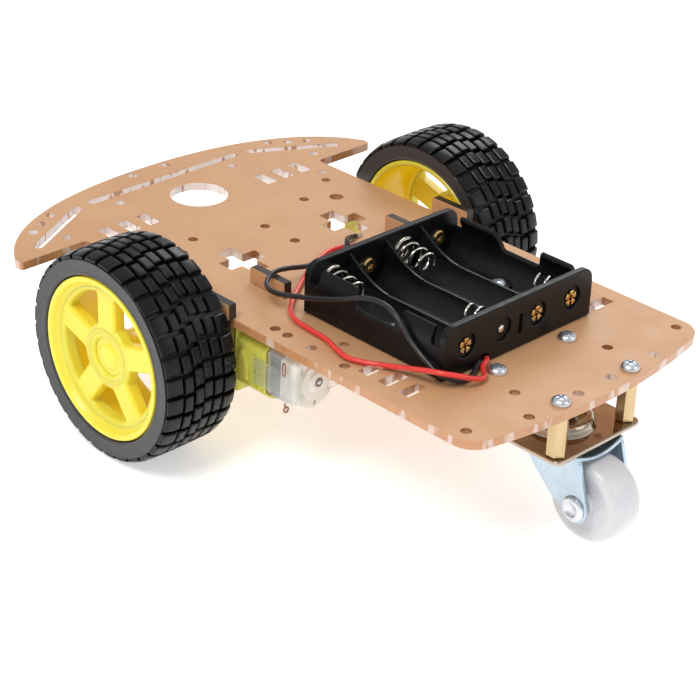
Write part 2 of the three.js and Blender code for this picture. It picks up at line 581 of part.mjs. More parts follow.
function boxTray() {
  const innerFront = BOX.frontX - BOX.wall / 2;
  const innerRear = BOX.rearX + BOX.wall / 2;
  const cellY = BAY_Y[0];
  const section = [
    at(BOX.halfWidth, BOX_FLOOR),
    ...arc(cellY, CELL.centreZ, LIP.outer, 0, LIP.angle, 5),
    ...arc(cellY, CELL.centreZ, LIP.inner, LIP.angle, 0, 3),
    at(cellY + LIP.inner, BOX_FLOOR + 6.9),
  ];
  const whole = [...section, ...section.map((point) => at(-point.x, point.y)).reverse()];
  const tray = prism('X', whole, innerRear, innerFront);
  const troughs = BAY_Y.map((y) => rod('X', y, CELL.centreZ, CELL.radius, innerRear - 1, innerFront + 1, 16));
  return cut(tray, ...troughs);
}

// The retaining lips stop short of the end walls and are cut away in the middle.
function lipCuts() {
  const [low, high] = [BOX_FLOOR + 9.6, BOX_FLOOR + 20];
  const spans = [
    [LIP.cutRearX, LIP.cutFrontX, BOX_FLOOR + 8.6],
    [BOX.frontX - BOX.wall - LIP.endGap, BOX.frontX - BOX.wall, low],
    [BOX.rearX + BOX.wall, BOX.rearX + BOX.wall + LIP.endGap, low],
  ];
  return spans.flatMap(([x0, x1, z0]) => ON_BOTH_SIDES.map(
    (side) => block(x0, x1, side * 24, side * 33, z0, high),
  ));
}

function endWall(x0, x1) {
  const corner = 5;
  const top = BOX_FLOOR + BOX.height;
  const half = BOX.halfWidth;
  const outline = [
    at(-half, BOX_FLOOR), at(half, BOX_FLOOR),
    ...arc(half - corner, top - corner, corner, 0, Math.PI / 2, 4),
    ...arc(corner - half, top - corner, corner, Math.PI / 2, Math.PI, 4),
  ];
  return prism('X', outline, x0, x1);
}

function batteryBox() {
  const front = endWall(BOX.frontX - BOX.wall, BOX.frontX);
  const rear = endWall(BOX.rearX, BOX.rearX + BOX.wall);
  const recesses = BAY_Y.flatMap((y) => [
    rod('X', y, CONTACT_Z, RIVET.recess, BOX.rearX - 1, BOX.rearX + RIVET.recessDepth, 8),
    rod('X', y, CONTACT_Z, RIVET.recess, BOX.frontX + 1, BOX.frontX - RIVET.recessDepth, 8),
  ]);
  const rivetHoles = BAY_Y.map((y) => rod('X', y, CONTACT_Z, RIVET.hole, BOX.rearX - 5, BOX.frontX + 5, 6));
  const leadExit = block(BOX.rearX - 1, BOX.rearX + BOX.wall + 1, LEAD_EXIT.y - LEAD_EXIT.halfWidth,
    LEAD_EXIT.y + LEAD_EXIT.halfWidth, BOX_FLOOR - 1, BOX_FLOOR + LEAD_EXIT.height);
  const screwCuts = ON_BOTH_SIDES.flatMap((side) => [
    rod('Z', BOX_SCREW.x, side * BOX_SCREW.y, MOTOR_SCREW.hole, BOX_FLOOR - 1, BOX_FLOOR + 5, 10),
    rod('Z', BOX_SCREW.x, side * BOX_SCREW.y, BOX_SCREW.counterbore, BOX_FLOOR + 1.4, BOX_FLOOR + 6, 8),
  ]);
  const tray = cut(boxTray(), ...lipCuts());
  return cut(join(tray, front, rear), ...recesses, ...rivetHoles, leadExit, ...screwCuts);
}

add('battery_box', FINISH.black(), batteryBox());

for (const [name, side] of [['left', 1], ['right', -1]]) {
  add(`box_screw_${name}`, FINISH.zinc(), screw(
    'Z', BOX_SCREW.x, side * BOX_SCREW.y, BOX_FLOOR + 1.4 + GAP, -1,
    { head: 2.7, headHeight: 1.7, shank: MOTOR_SCREW.shank, length: 9, nutAt: DECK_UNDER - GAP }));
}

// ---------------------------------------------------------------- battery contacts

const FRONT_END = { wallX: BOX.frontX - BOX.wall, way: -1, outer: BOX.frontX - RIVET.recessDepth };
const REAR_END = { wallX: BOX.rearX + BOX.wall, way: 1, outer: BOX.rearX + RIVET.recessDepth };
const SPRING = { baseRadius: 4.1, tipRadius: 2.7, wire: 0.4, turns: 3.5, length: 10, stepsPerTurn: 6 };
const STRIP = { thickness: 0.4, halfHeight: 1.1 };

// A rivet through the end wall; its shank and outer flange clear the wall.
function rivet(end, y) {
  const inner = end.wallX + end.way * GAP;
  const outer = end.outer - end.way * GAP;
  const { head, shank } = RIVET;
  const profile = [
    [0, inner + end.way * 1.2], [head * 0.6, inner + end.way * 1.2], [head, inner + end.way * 0.5],
    [head, inner], [shank, inner], [shank, outer], [head - 0.4, outer],
    [head - 0.4, outer - end.way * 0.3], [0, outer - end.way * 0.3],
  ];
  return turned('X', [y, CONTACT_Z], profile, 8);
}

function spring(end, y) {
  const base = end.wallX + end.way * (GAP + STRIP.thickness);
  const steps = SPRING.turns * SPRING.stepsPerTurn;
  const points = Array.from({ length: steps + 1 }, (_, i) => {
    const share = i / steps;
    const radius = SPRING.baseRadius + (SPRING.tipRadius - SPRING.baseRadius) * share;
    const angle = share * SPRING.turns * 2 * Math.PI;
    return new THREE.Vector3(base + end.way * share * SPRING.length, y + radius * Math.cos(angle),
      CONTACT_Z + radius * Math.sin(angle));
  });
  return tube(new THREE.CatmullRomCurve3(points), SPRING.wire, 4, steps);
}

function tube(curve, radius, sides, steps) {
  const section = new THREE.Shape(circle(0, 0, radius, sides));
  return solidOf(new THREE.ExtrudeGeometry(section, { steps, extrudePath: curve, bevelEnabled: false }));
}

function strip(end, fromY, toY) {
  const x0 = end.wallX + end.way * GAP;
  const reach = 2;
  return block(x0, x0 + end.way * STRIP.thickness, Math.min(fromY, toY) - reach, Math.max(fromY, toY) + reach,
    CONTACT_Z - STRIP.halfHeight, CONTACT_Z + STRIP.halfHeight);
}

// The spring stands on a washer held by its own rivet.
function springContact(end, y) {
  const x0 = end.wallX + end.way * GAP;
  const x1 = x0 + end.way * (STRIP.thickness + 0.3);
  const washer = rod('X', y, CONTACT_Z, SPRING.baseRadius + 0.6, x0, x1, 10);
  return join(washer, spring(end, y), rivet(end, y));
}

const link = (end, springY, rivetY) =>
  join(springContact(end, springY), rivet(end, rivetY), strip(end, springY, rivetY));

add('contact_front_left', FINISH.steel(), link(FRONT_END, BAY_Y[0], BAY_Y[1]));
add('contact_front_right', FINISH.steel(), link(FRONT_END, BAY_Y[2], BAY_Y[3]));
add('contact_rear_middle', FINISH.steel(), link(REAR_END, BAY_Y[1], BAY_Y[2]));
add('contact_rear_positive', FINISH.brass(), rivet(REAR_END, BAY_Y[0]));
add('contact_rear_negative', FINISH.steel(), springContact(REAR_END, BAY_Y[3]));

// ---------------------------------------------------------------- tail caster

const CASTER_LEG = { halfInner: 8.6, thickness: 1.3, crownTop: 28.9, crownBottom: 27.6 };
const RACE = { inner: 3.6, ballInner: 5.4, ballOuter: 9.4, height: 3 };

function casterPlate() {
  const { top, thickness, halfX, halfY, raceRadius } = CASTER_PLATE;
  const corner = 2.5;
  const outline = [[1, 1, 0], [-1, 1, 1], [-1, -1, 2], [1, -1, 3]].flatMap(([sx, sy, quarter]) =>
    arc(CASTER.x + sx * (halfX - corner), sy * (halfY - corner), corner,
      quarter * Math.PI / 2, (quarter + 1) * Math.PI / 2, 3));
  const holes = ON_BOTH_SIDES.flatMap((x) => ON_BOTH_SIDES.map((y) =>
    circle(CASTER.x + x * CASTER.holeX, y * CASTER.holeY, MOTOR_SCREW.hole, 8)));
  const plate = prism('Z', outline, top - thickness, top, holes);
  const race = turned('Z', [CASTER.x, 0], closed([
    [RACE.inner, top - thickness], [raceRadius, top - thickness], [raceRadius, top + 0.4],
    [raceRadius - 1.4, top + RACE.height], [RACE.ballInner - 0.4, top + RACE.height],
    [RACE.inner, top + 1.4],
  ]), 16);
  const groove = turned('Z', [CASTER.x, 0], closed([
    [RACE.ballInner, top - thickness - 1], [RACE.ballOuter, top - thickness - 1],
    [RACE.ballOuter, top + RACE.height - 1.2], [RACE.ballInner, top + RACE.height - 1.2],
  ]), 16);
  const eye = rod('Z', CASTER.x, 0, RACE.inner, top - thickness - 1, top + 5, 16);
  return cut(join(plate, race), groove, eye);
}

function casterBearing() {
  const { top, thickness } = CASTER_PLATE;
  const [inner, outer] = [RACE.ballInner + GAP, RACE.ballOuter - GAP];
  const low = top - thickness + 0.1;
  const high = top + RACE.height - 1.2 - GAP;
  return turned('Z', [CASTER.x, 0], closed([
    [inner + 0.8, low], [outer - 0.8, low], [outer, low + 0.8], [outer, high - 0.8],
    [outer - 0.8, high], [inner + 0.8, high], [inner, high - 0.8], [inner, low + 0.8],
  ]), 12);
}

function casterFork() {
  const { halfInner, thickness, crownTop, crownBottom } = CASTER_LEG;
  const outer = halfInner + thickness;
  const axle = at(CASTER.axleX, CASTER.wheelRadius);
  const legSide = [
    at(-124.6, crownTop), at(-126.2, crownTop - 2),
    ...arc(axle.x, axle.y, 4.6, Math.PI, 2 * Math.PI - 0.5, 6),
    at(-117.2, 13.5), at(-104, crownTop - 2), at(-101.5, crownTop),
  ];
  const legs = ON_BOTH_SIDES.map((side) => prism('Y', legSide, side * halfInner, side * outer));
  const crown = join(
    rod('Z', CASTER.x, 0, 10.6, crownBottom, crownTop, 18),
    block(-124.6, CASTER.x, -outer, outer, crownBottom, crownTop),
  );
  const stem = turned('Z', [CASTER.x, 0], [
    [0, crownTop - 0.5], [2.4, crownTop - 0.5], [2.4, CASTER_PLATE.top + 3.4],
    [4.6, CASTER_PLATE.top + 3.6], [4.2, CASTER_PLATE.top + 4.8], [0, CASTER_PLATE.top + 5.2],
  ], 8);
  const pinHole = rod('Y', axle.x, axle.y, 1.9, -20, 20, 10);
  return cut(join(crown, ...legs, stem), pinHole);
}

function casterWheel() {
  const { axleX, wheelRadius, wheelHalf } = CASTER;
  const profile = [
    [2.1, -wheelHalf - 1.2], [4, -wheelHalf - 1.2], [4, -wheelHalf], [wheelRadius - 2, -wheelHalf],
    [wheelRadius - 0.5, -wheelHalf + 1], [wheelRadius, -wheelHalf + 3], [wheelRadius, wheelHalf - 3],
    [wheelRadius - 0.5, wheelHalf - 1], [wheelRadius - 2, wheelHalf], [4, wheelHalf], [4, wheelHalf + 1.2],
    [2.1, wheelHalf + 1.2],
  ];
  return turned('Y', [axleX, wheelRadius], closed(profile), 24);
}

function casterAxle() {
  const seat = CASTER_LEG.halfInner + CASTER_LEG.thickness + GAP;
  const profile = [
    [0, -seat - 1.3], [2.2, -seat - 1.3], [3.2, -seat], [1.6, -seat],
    [1.6, seat], [3.2, seat], [2.2, seat + 1.3], [0, seat + 1.3],
  ];
  return turned('Y', [CASTER.axleX, CASTER.wheelRadius], profile, 8);
}

add('caster_plate', FINISH.steel(), casterPlate());
add('caster_bearing', FINISH.steel(), casterBearing());
add('caster_fork', FINISH.zinc(), casterFork());
add('caster_wheel', FINISH.nylon(), casterWheel());
add('caster_axle', FINISH.zinc(), casterAxle());

for (const [end, wayX] of [['front', 1], ['rear', -1]]) {
  for (const [name, wayY] of [['left', 1], ['right', -1]]) {
    const x = CASTER.x + wayX * CASTER.holeX;
    const y = wayY * CASTER.holeY;
    const hexagon = circle(x, y, STANDOFF.acrossFlats / Math.sqrt(3), 6);
    const bore = [circle(x, y, STANDOFF.bore, 6)];
    const column = prism('Z', hexagon, CASTER_PLATE.top + GAP, DECK_UNDER - GAP, bore);
    add(`standoff_${end}_${name}`, FINISH.brass(), column);
    add(`caster_screw_${end}_${name}`, FINISH.zinc(), screw('Z', x, y, DECK.top + GAP, -1,
      { head: 2.9, headHeight: 2, shank: 1.1, length: 8 }));
  }
}

// ---------------------------------------------------------------- battery leads

// Each lead leaves the foot of the box's rear wall, runs forward along its left side and ends bare.
const RED_ROUTE = [
  [-92.9, 13.9, 48.7], [-93.8, 14.9, 48.6], [-94.5, 16.9, 48.4], [-96.3, 19, 48.2], [-98.6, 21, 48.1],
  [-99.9, 23.8, 48.7], [-99.4, 27.2, 49.8], [-97.6, 31, 51.2], [-94.6, 34.2, 51.9], [-90.2, 35.4, 51.3],
  [-83, 36.2, 49.4], [-76, 38.4, 48.2], [-70.5, 41, 47.9], [-66, 42.4, 47.9], [-61.4, 41.6, 47.9],
  [-54, 39.4, 47.9], [-46, 38.8, 47.9], [-40, 38, 47.9], [-34.6, 35.2, 47.9], [-29.4, 29.4, 47.9],
  [-25.4, 23.8, 47.9], [-21.8, 18.4, 47.9], [-17.6, 11.6, 47.9], [-14.2, 4.4, 47.9], [-12.4, -1.6, 47.9],
  [-12.9, -7, 47.9], [-15.6, -11, 47.9], [-19.4, -13.4, 47.9],
];
const BLACK_ROUTE = [
  [-92.9, 17, 48.7], [-93.5, 18.4, 48.4], [-94.4, 20.2, 48.1], [-95.6, 22.4, 47.9], [-96.5, 25, 47.9],
  [-96.3, 28.2, 48.1], [-94.8, 31.2, 49], [-92, 33, 50.2], [-88.6, 33, 51.8], [-85.2, 32.8, 53.3],
  [-80.8, 32.7, 56], [-77.6, 32.6, 58.8], [-74.6, 32.4, 61], [-70, 31.9, 62.4], [-63, 32, 61.9],
  [-53.8, 33.2, 58.5], [-44, 34, 55.2], [-37.6, 34.6, 53.5], [-32.6, 36, 52.7], [-28.2, 36.8, 52.4],
  [-24.2, 35.4, 52.5], [-21.6, 32.4, 52.9], [-20.2, 28.4, 53.2], [-19.6, 22.4, 52.2], [-19.4, 16.4, 50.7],
  [-18.8, 9.6, 49.4], [-17.6, 3.6, 48.2], [-16.9, -1.6, 48], [-15.6, -5.6, 48.7], [-12.9, -8.8, 49.9],
  [-10.6, -12, 48.7], [-9.8, -15.6, 47.9],
];

function lead(route, steps) {
  const points = route.map(([x, y, z]) => new THREE.Vector3(x, y, z));
  return tube(new THREE.CatmullRomCurve3(points), LEAD_RADIUS, 8, steps);
}

add('lead_red', FINISH.red(), lead(RED_ROUTE, 42));
add('lead_black', FINISH.black(), lead(BLACK_ROUTE, 50));

const robotCar = new THREE.Group();
robotCar.add(car);

export default robotCar;
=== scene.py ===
"""Looks of the two wheel robot car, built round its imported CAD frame.

Lengths are millimetres until a mesh is placed. X runs forward from the drive axle, Y to the car's left and
Z up from the ground. Meshes are drawn for the left side."""

import json
import math

import bmesh
import bpy
from mathutils import Matrix, Vector
from mathutils.geometry import tessellate_polygon


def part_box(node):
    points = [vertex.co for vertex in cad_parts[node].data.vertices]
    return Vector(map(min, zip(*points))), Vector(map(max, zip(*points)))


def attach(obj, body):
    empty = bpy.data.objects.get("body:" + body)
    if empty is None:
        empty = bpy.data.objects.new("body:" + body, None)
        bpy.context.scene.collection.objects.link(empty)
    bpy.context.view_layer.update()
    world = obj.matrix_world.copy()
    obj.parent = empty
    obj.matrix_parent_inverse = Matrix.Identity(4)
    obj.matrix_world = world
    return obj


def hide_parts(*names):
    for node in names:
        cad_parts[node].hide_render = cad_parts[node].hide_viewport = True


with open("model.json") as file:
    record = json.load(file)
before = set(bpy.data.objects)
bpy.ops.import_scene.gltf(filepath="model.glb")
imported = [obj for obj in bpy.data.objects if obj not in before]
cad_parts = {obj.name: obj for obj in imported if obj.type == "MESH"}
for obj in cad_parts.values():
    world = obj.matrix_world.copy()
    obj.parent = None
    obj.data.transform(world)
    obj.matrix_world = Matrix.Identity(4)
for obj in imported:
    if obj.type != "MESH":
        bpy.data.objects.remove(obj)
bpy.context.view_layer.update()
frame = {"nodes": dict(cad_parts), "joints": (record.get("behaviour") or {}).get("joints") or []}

MM = 0.001
TURN = 2 * math.pi
JOINT_AT = {j["name"]: Vector(j["pos_m"]) / MM for j in frame["joints"]}
AXLE_X = JOINT_AT["left_wheel_spin"].x
SIDES = (("left", 1), ("right", -1))


def span(node):
    """Lowest and highest corner of a CAD node, in millimetres from the drive axle."""
    low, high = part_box(node)
    shift = Vector((AXLE_X, 0, 0))
    return low / MM - shift, high / MM - shift


def added(name, data):
    """A new object that holds `data`, linked into the scene."""
    thing = bpy.data.objects.new(name, data)
    bpy.context.scene.collection.objects.link(thing)
    return thing


# ---------------------------------------------------------------- camera, floor and light

AIM = Vector((20.3, -14.9, 6.9))
CAMERA = {"distance": 646, "azimuth": -135.04, "elevation": 28.42, "roll": -2.05, "lens": 101.68}


def direction(azimuth, elevation):
    a, e = math.radians(azimuth), math.radians(elevation)
    return Vector((math.sin(a) * math.cos(e), -math.cos(a) * math.cos(e), math.sin(e)))


def make_camera():
    data = bpy.data.cameras.new("camera")
    data.lens = CAMERA["lens"]
    data.sensor_width = 36
    data.clip_start, data.clip_end = 0.01, 20
    camera = added("camera", data)
    back = direction(CAMERA["azimuth"], CAMERA["elevation"])
    camera.location = (AIM + back * CAMERA["distance"]) * MM
    camera.rotation_mode = "QUATERNION"
    level = (-back).to_track_quat("-Z", "Y")
    roll = Matrix.Rotation(math.radians(CAMERA["roll"]), 4, -back)
    camera.rotation_quaternion = roll.to_quaternion() @ level
    bpy.context.scene.camera = camera


def area_light(name, azimuth, elevation, distance, size, power):
    data = bpy.data.lights.new(name, "AREA")
    data.shape, data.size, data.energy = "DISK", size, power
    light = added(name, data)
    back = direction(azimuth, elevation)
    light.location = back * distance
    light.rotation_mode = "QUATERNION"
    light.rotation_quaternion = (-back).to_track_quat("-Z", "Y")


def make_studio():
    scene = bpy.context.scene
    scene.view_settings.view_transform = "Standard"
    world = bpy.data.worlds.new("studio")
    scene.world = world
    world.use_nodes = True
    nodes, links = world.node_tree.nodes, world.node_tree.links
    ramp = nodes.new("ShaderNodeValToRGB")
    stops = ramp.color_ramp.elements
    stops[0].position, stops[0].color = 0.52, (1.4, 1.4, 1.4, 1)
    stops[1].position, stops[1].color = 1.0, (0.95, 0.95, 0.95, 1)
    stops.new(0.66).color = (0.62, 0.63, 0.65, 1)
    split = nodes.new("ShaderNodeSeparateXYZ")
    coordinates = nodes.new("ShaderNodeTexCoord")
    half = nodes.new("ShaderNodeMapRange")
    half.inputs["From Min"].default_value = -1
    links.new(coordinates.outputs["Generated"], split.inputs[0])
    links.new(split.outputs["Z"], half.inputs["Value"])
    links.new(half.outputs[0], ramp.inputs[0])
    links.new(ramp.outputs[0], nodes["Background"].inputs["Color"])
    nodes["Background"].inputs["Strength"].default_value = 0.72
    area_light("key", -170, 58, 1.3, 0.6, 8)
    area_light("fill", -60, 35, 1.5, 0.9, 2.5)
    area_light("rim", 30, 40, 1.4, 0.6, 4)

    mesh = bpy.data.meshes.new("floor")
    reach = 4
    mesh.from_pydata([(-reach, -reach, 0), (reach, -reach, 0), (reach, reach, 0), (-reach, reach, 0)],
                     [], [(0, 1, 2, 3)])
    floor = added("floor", mesh)
    mesh.materials.append(surface("lit_floor", (0.93, 0.93, 0.93), (0.92, 0.92, 0.92), rough=(0.6, 0.65),
                                  Emission_Color=(1, 1, 1, 1), Emission_Strength=0.5))


# ---------------------------------------------------------------- materials

def surface(name, color, second, rough, metallic=0.0, patch=4.0, grain=None, stretch=(1, 1, 1), flecks=None,
            **sockets):
    """A procedural finish that wanders between two colours and within a range of roughness.

    `patch` is the size of its colour variation and `grain` is (size, depth) of its bump, all in millimetres.
    `flecks` is (size, share, colour) of small spots."""
    material = bpy.data.materials.new(name)
    material.use_nodes = True
    nodes, links = material.node_tree.nodes, material.node_tree.links
    shader = nodes["Principled BSDF"]
    coordinates = nodes.new("ShaderNodeTexCoord")
    mapping = nodes.new("ShaderNodeMapping")
    mapping.inputs["Scale"].default_value = stretch
    links.new(coordinates.outputs["Object"], mapping.inputs["Vector"])

    def noise(size, detail=3.0):
        node = nodes.new("ShaderNodeTexNoise")
        node.inputs["Scale"].default_value = 1 / (size * MM)
        node.inputs["Detail"].default_value = detail
        links.new(mapping.outputs[0], node.inputs["Vector"])
        return node.outputs["Fac"]

    def ranged(value, low, high, start=0.3, end=0.7):
        node = nodes.new("ShaderNodeMapRange")
        for key, number in (("From Min", start), ("From Max", end), ("To Min", low), ("To Max", high)):
            node.inputs[key].default_value = number
        links.new(value, node.inputs["Value"])
        return node.outputs[0]

    def mixed(share, first, other):
        node = nodes.new("ShaderNodeMix")
        node.data_type = "RGBA"
        links.new(share, node.inputs["Factor"])
        for socket, value in ((node.inputs[6], first), (node.inputs[7], other)):
            if isinstance(value, tuple):
                socket.default_value = (*value, 1)
            else:
                links.new(value, socket)
        return node.outputs[2]

    tint = mixed(ranged(noise(patch), 0, 1), color, second)
    if flecks:
        size, share, fleck = flecks
        tint = mixed(ranged(noise(size, 2), 1, 0, share, share + 0.06), tint, fleck)
    links.new(tint, shader.inputs["Base Color"])
    links.new(ranged(noise(patch * 0.4), *rough), shader.inputs["Roughness"])
    if grain:
        bump = nodes.new("ShaderNodeBump")
        bump.inputs["Distance"].default_value = grain[1] * MM
        bump.inputs["Strength"].default_value = 1
        links.new(noise(grain[0], 4), bump.inputs["Height"])
        links.new(bump.outputs[0], shader.inputs["Normal"])
    shader.inputs["Metallic"].default_value = metallic
    for key, value in sockets.items():
        shader.inputs[key.replace("_", " ")].default_value = value
    return material


FINISH = {
    "kraft": surface("kraft_paper", (0.58, 0.325, 0.165), (0.535, 0.285, 0.138), (0.42, 0.54), patch=22,
                     grain=(0.4, 0.01), flecks=(0.5, 0.3, (0.46, 0.25, 0.13))),
    "edge": surface("acrylic_edge", (0.45, 0.19, 0.075), (0.56, 0.27, 0.12), (0.1, 0.25), patch=5,
                    stretch=(1, 1, 0.2), flecks=(5, 0.4, (0.64, 0.46, 0.37)), Coat_Weight=0.4),
    "hole": surface("acrylic_hole_wall", (0.33, 0.135, 0.055), (0.44, 0.2, 0.09), (0.12, 0.3), patch=6,
                    stretch=(1, 1, 0.2), flecks=(7, 0.43, (0.78, 0.66, 0.6)), Coat_Weight=0.3),
    "frosted": surface("acrylic_clear_wall", (0.84, 0.78, 0.76), (0.78, 0.68, 0.64), (0.1, 0.3), patch=5,
                       stretch=(1, 1, 0.3), flecks=(2.2, 0.4, (0.5, 0.27, 0.15)), Coat_Weight=0.4),
    "scorched": surface("scorched_edge", (0.012, 0.01, 0.008), (0.035, 0.02, 0.012), (0.35, 0.6), patch=3),
    "tyre": surface("tyre_rubber", (0.0035, 0.0035, 0.004), (0.006, 0.006, 0.007), (0.22, 0.34), patch=5,
                    grain=(0.3, 0.008), Specular_IOR_Level=0.24),
    "sidewall": surface("sidewall_rubber", (0.036, 0.037, 0.041), (0.029, 0.03, 0.034), (0.34, 0.46), patch=8,
                        grain=(0.2, 0.005)),
    "yellow": surface("rim_yellow", (0.86, 0.73, 0.07), (0.84, 0.69, 0.05), (0.27, 0.38), patch=12,
                      grain=(2.5, 0.008), Subsurface_Weight=0.3, Subsurface_Scale=0.004,
                      Subsurface_Radius=(1.0, 0.6, 0.05)),
    # Inside of the rim's barrel: a deeper, more orange copy of the rim yellow with a faint orange glow. This
    # is painted shade plus painted light for the light that comes through the plastic, not a lamp.
    "painted_glow_yellow": surface("barrel_painted_glow_yellow", (0.84, 0.66, 0.012), (0.8, 0.6, 0.008), (0.25, 0.36), patch=12,
                           grain=(2.5, 0.008), Emission_Color=(1, 0.6, 0.0, 1), Emission_Strength=0.13),
    "lemon": surface("gearbox_lemon", (0.78, 0.73, 0.13), (0.7, 0.64, 0.09), (0.24, 0.36), patch=6,
                     grain=(1.2, 0.01), Transmission_Weight=0.2, IOR=1.45, Subsurface_Weight=0.3,
                     Subsurface_Scale=0.003),
    "nylon": surface("gear_nylon", (0.8, 0.8, 0.78), (0.74, 0.74, 0.72), (0.35, 0.45), patch=3),
    "can": surface("motor_steel", (0.8, 0.81, 0.82), (0.72, 0.73, 0.76), (0.3, 0.42), 0.85, patch=2,
                   grain=(0.5, 0.003), stretch=(0.15, 1, 1)),
    "milky": surface("end_cap_milky", (0.78, 0.75, 0.68), (0.72, 0.69, 0.61), (0.28, 0.4), patch=5,
                     grain=(2.5, 0.006), Coat_Weight=0.2),
    "bush": surface("bush_bronze", (0.16, 0.13, 0.11), (0.24, 0.19, 0.15), (0.3, 0.42), 0.7, patch=1),
    "clear": surface("strap_clear", (0.95, 0.96, 0.95), (0.92, 0.93, 0.92), (0.05, 0.12), patch=5,
                     Transmission_Weight=0.92, IOR=1.12),
    "copper": surface("terminal_copper", (0.4, 0.19, 0.11), (0.26, 0.13, 0.085), (0.25, 0.4), 1.0, patch=1),
    "zinc": surface("screw_zinc", (0.72, 0.75, 0.79), (0.62, 0.65, 0.7), (0.22, 0.34), 0.95, patch=1.2,
                    grain=(0.4, 0.003)),
    "black": surface("box_black", (0.004, 0.004, 0.0042), (0.007, 0.007, 0.0074), (0.27, 0.4), patch=8,
                     grain=(0.35, 0.006), Specular_IOR_Level=0.22),
    "nickel": surface("spring_nickel", (0.75, 0.72, 0.67), (0.66, 0.62, 0.56), (0.1, 0.2), 1.0, patch=1),
    "brass": surface("rivet_brass", (0.78, 0.55, 0.24), (0.62, 0.4, 0.16), (0.15, 0.3), 1.0, patch=1),
    "plate": surface("plate_nickel", (0.5, 0.42, 0.34), (0.4, 0.33, 0.26), (0.08, 0.17), 1.0, patch=6,
                     grain=(1.6, 0.006)),
    "fork": surface("fork_zinc", (0.52, 0.62, 0.7), (0.42, 0.54, 0.64), (0.2, 0.3), 0.92, patch=7,
                    grain=(3, 0.006)),
    "wheel_nylon": surface("caster_nylon", (0.63, 0.63, 0.65), (0.585, 0.585, 0.61), (0.26, 0.36), patch=9,
                           Coat_Weight=0.2),
    "standoff": surface("standoff_brass", (0.6, 0.45, 0.26), (0.52, 0.38, 0.2), (0.24, 0.34), 0.9, patch=3,
                        grain=(0.3, 0.004), stretch=(1, 1, 0.15)),
    "red": surface("lead_red", (0.78, 0.045, 0.03), (0.72, 0.03, 0.025), (0.22, 0.32), patch=5,
                   Coat_Weight=0.3),
    "lead_black": surface("lead_black", (0.009, 0.009, 0.01), (0.016, 0.016, 0.018), (0.24, 0.36), patch=5),
    "tinned": surface("tinned_wire", (0.7, 0.66, 0.6), (0.62, 0.42, 0.28), (0.2, 0.35), 1.0, patch=0.6),
}

# ---------------------------------------------------------------- outlines

def polar(x, y, radius, angle):
    return (x + radius * math.cos(angle), y + radius * math.sin(angle))


def arc(x, y, radius, start, end, steps):
    return [polar(x, y, radius, start + (end - start) * i / steps) for i in range(steps + 1)]


def circle(x, y, radius, sides=24):
    return [polar(x, y, radius, TURN * i / sides) for i in range(sides)]


def rectangle(x0, x1, y0, y1):
    return [(x0, y0), (x1, y0), (x1, y1), (x0, y1)]


def filleted(points, radius, steps=4, closed=True):
    """The same outline with its corners rounded; `radius` is one number or one for each corner."""
    count = len(points)
    radii = radius if isinstance(radius, (list, tuple)) else [radius] * count
    out = []
    for i, point in enumerate(points):
        if radii[i] <= 0 or (not closed and i in (0, count - 1)):
            out.append(point)
            continue
        here = Vector(point)
        before = (Vector(points[i - 1]) - here)
        after = (Vector(points[(i + 1) % count]) - here)
        half = before.angle(after) / 2
        reach = min(radii[i] / math.tan(half), before.length * 0.49, after.length * 0.49)
        a, b = here + before.normalized() * reach, here + after.normalized() * reach
        for k in range(steps + 1):
            t = k / steps
            out.append(tuple(a * (1 - t) ** 2 + here * (2 * t * (1 - t)) + b * t * t))
    return out


def slot(x0, y0, x1, y1, width, steps=8):
    heading = math.atan2(y1 - y0, x1 - x0)
    quarter = math.pi / 2
    return (arc(x1, y1, width / 2, heading - quarter, heading + quarter, steps)
            + arc(x0, y0, width / 2, heading + quarter, heading + 3 * quarter, steps))


def double_d(y, z, radius, half_across, steps=14):
    """A circle with two flat sides, `half_across` from its centre, in the (y, z) plane."""
    flat = math.acos(half_across / radius)
    return (arc(y, z, radius, flat, math.pi - flat, steps)
            + arc(y, z, radius, math.pi + flat, TURN - flat, steps))


# ---------------------------------------------------------------- meshes

ACROSS = {"X": Matrix(((0, 0, 1), (1, 0, 0), (0, 1, 0))), "Y": Matrix(((1, 0, 0), (0, 0, 1), (0, 1, 0))),
          "Z": Matrix.Identity(3)}


def to_mesh(points, faces, axis="Z", tags=None):
    """A mesh from points drawn across `axis`; `tags` gives each face's material number."""
    mesh = bpy.data.meshes.new("part")
    mesh.from_pydata([tuple(ACROSS[axis] @ Vector(p)) for p in points], [], faces)
    if tags:
        mesh.polygons.foreach_set("material_index", tags)
    bm = bmesh.new()
    bm.from_mesh(mesh)
    bmesh.ops.recalc_face_normals(bm, faces=bm.faces)
    bm.to_mesh(mesh)
    bm.free()
    return mesh


def inset(points, distance):
    """Each point of a closed loop moved to its left by `distance`."""
    out = []
    for i, point in enumerate(points):
        a, b, c = Vector(points[i - 1]), Vector(point), Vector(points[(i + 1) % len(points)])
        into, away = (b - a).normalized(), (c - b).normalized()
        left = Vector((-into.y - away.y, into.x + away.x))
        scale = max(left.length_squared / 2, 0.35)
        out.append(tuple(b + left * (distance / scale)))
    return out


FINE_RIM = 0.15


def turns_left(points):
    return sum(a[0] * b[1] - b[0] * a[1] for a, b in zip(points, points[1:] + points[:1])) > 0


def rounding(radius, steps):
    """(inset, depth) below a face at each step of its rounded rim, from the face to the wall."""
    if not radius:
        return [(0, 0)]
    return [(radius * (1 - math.sin(a)), radius * (1 - math.cos(a)))
            for a in (math.pi / 2 * k / steps for k in range(steps + 1))]


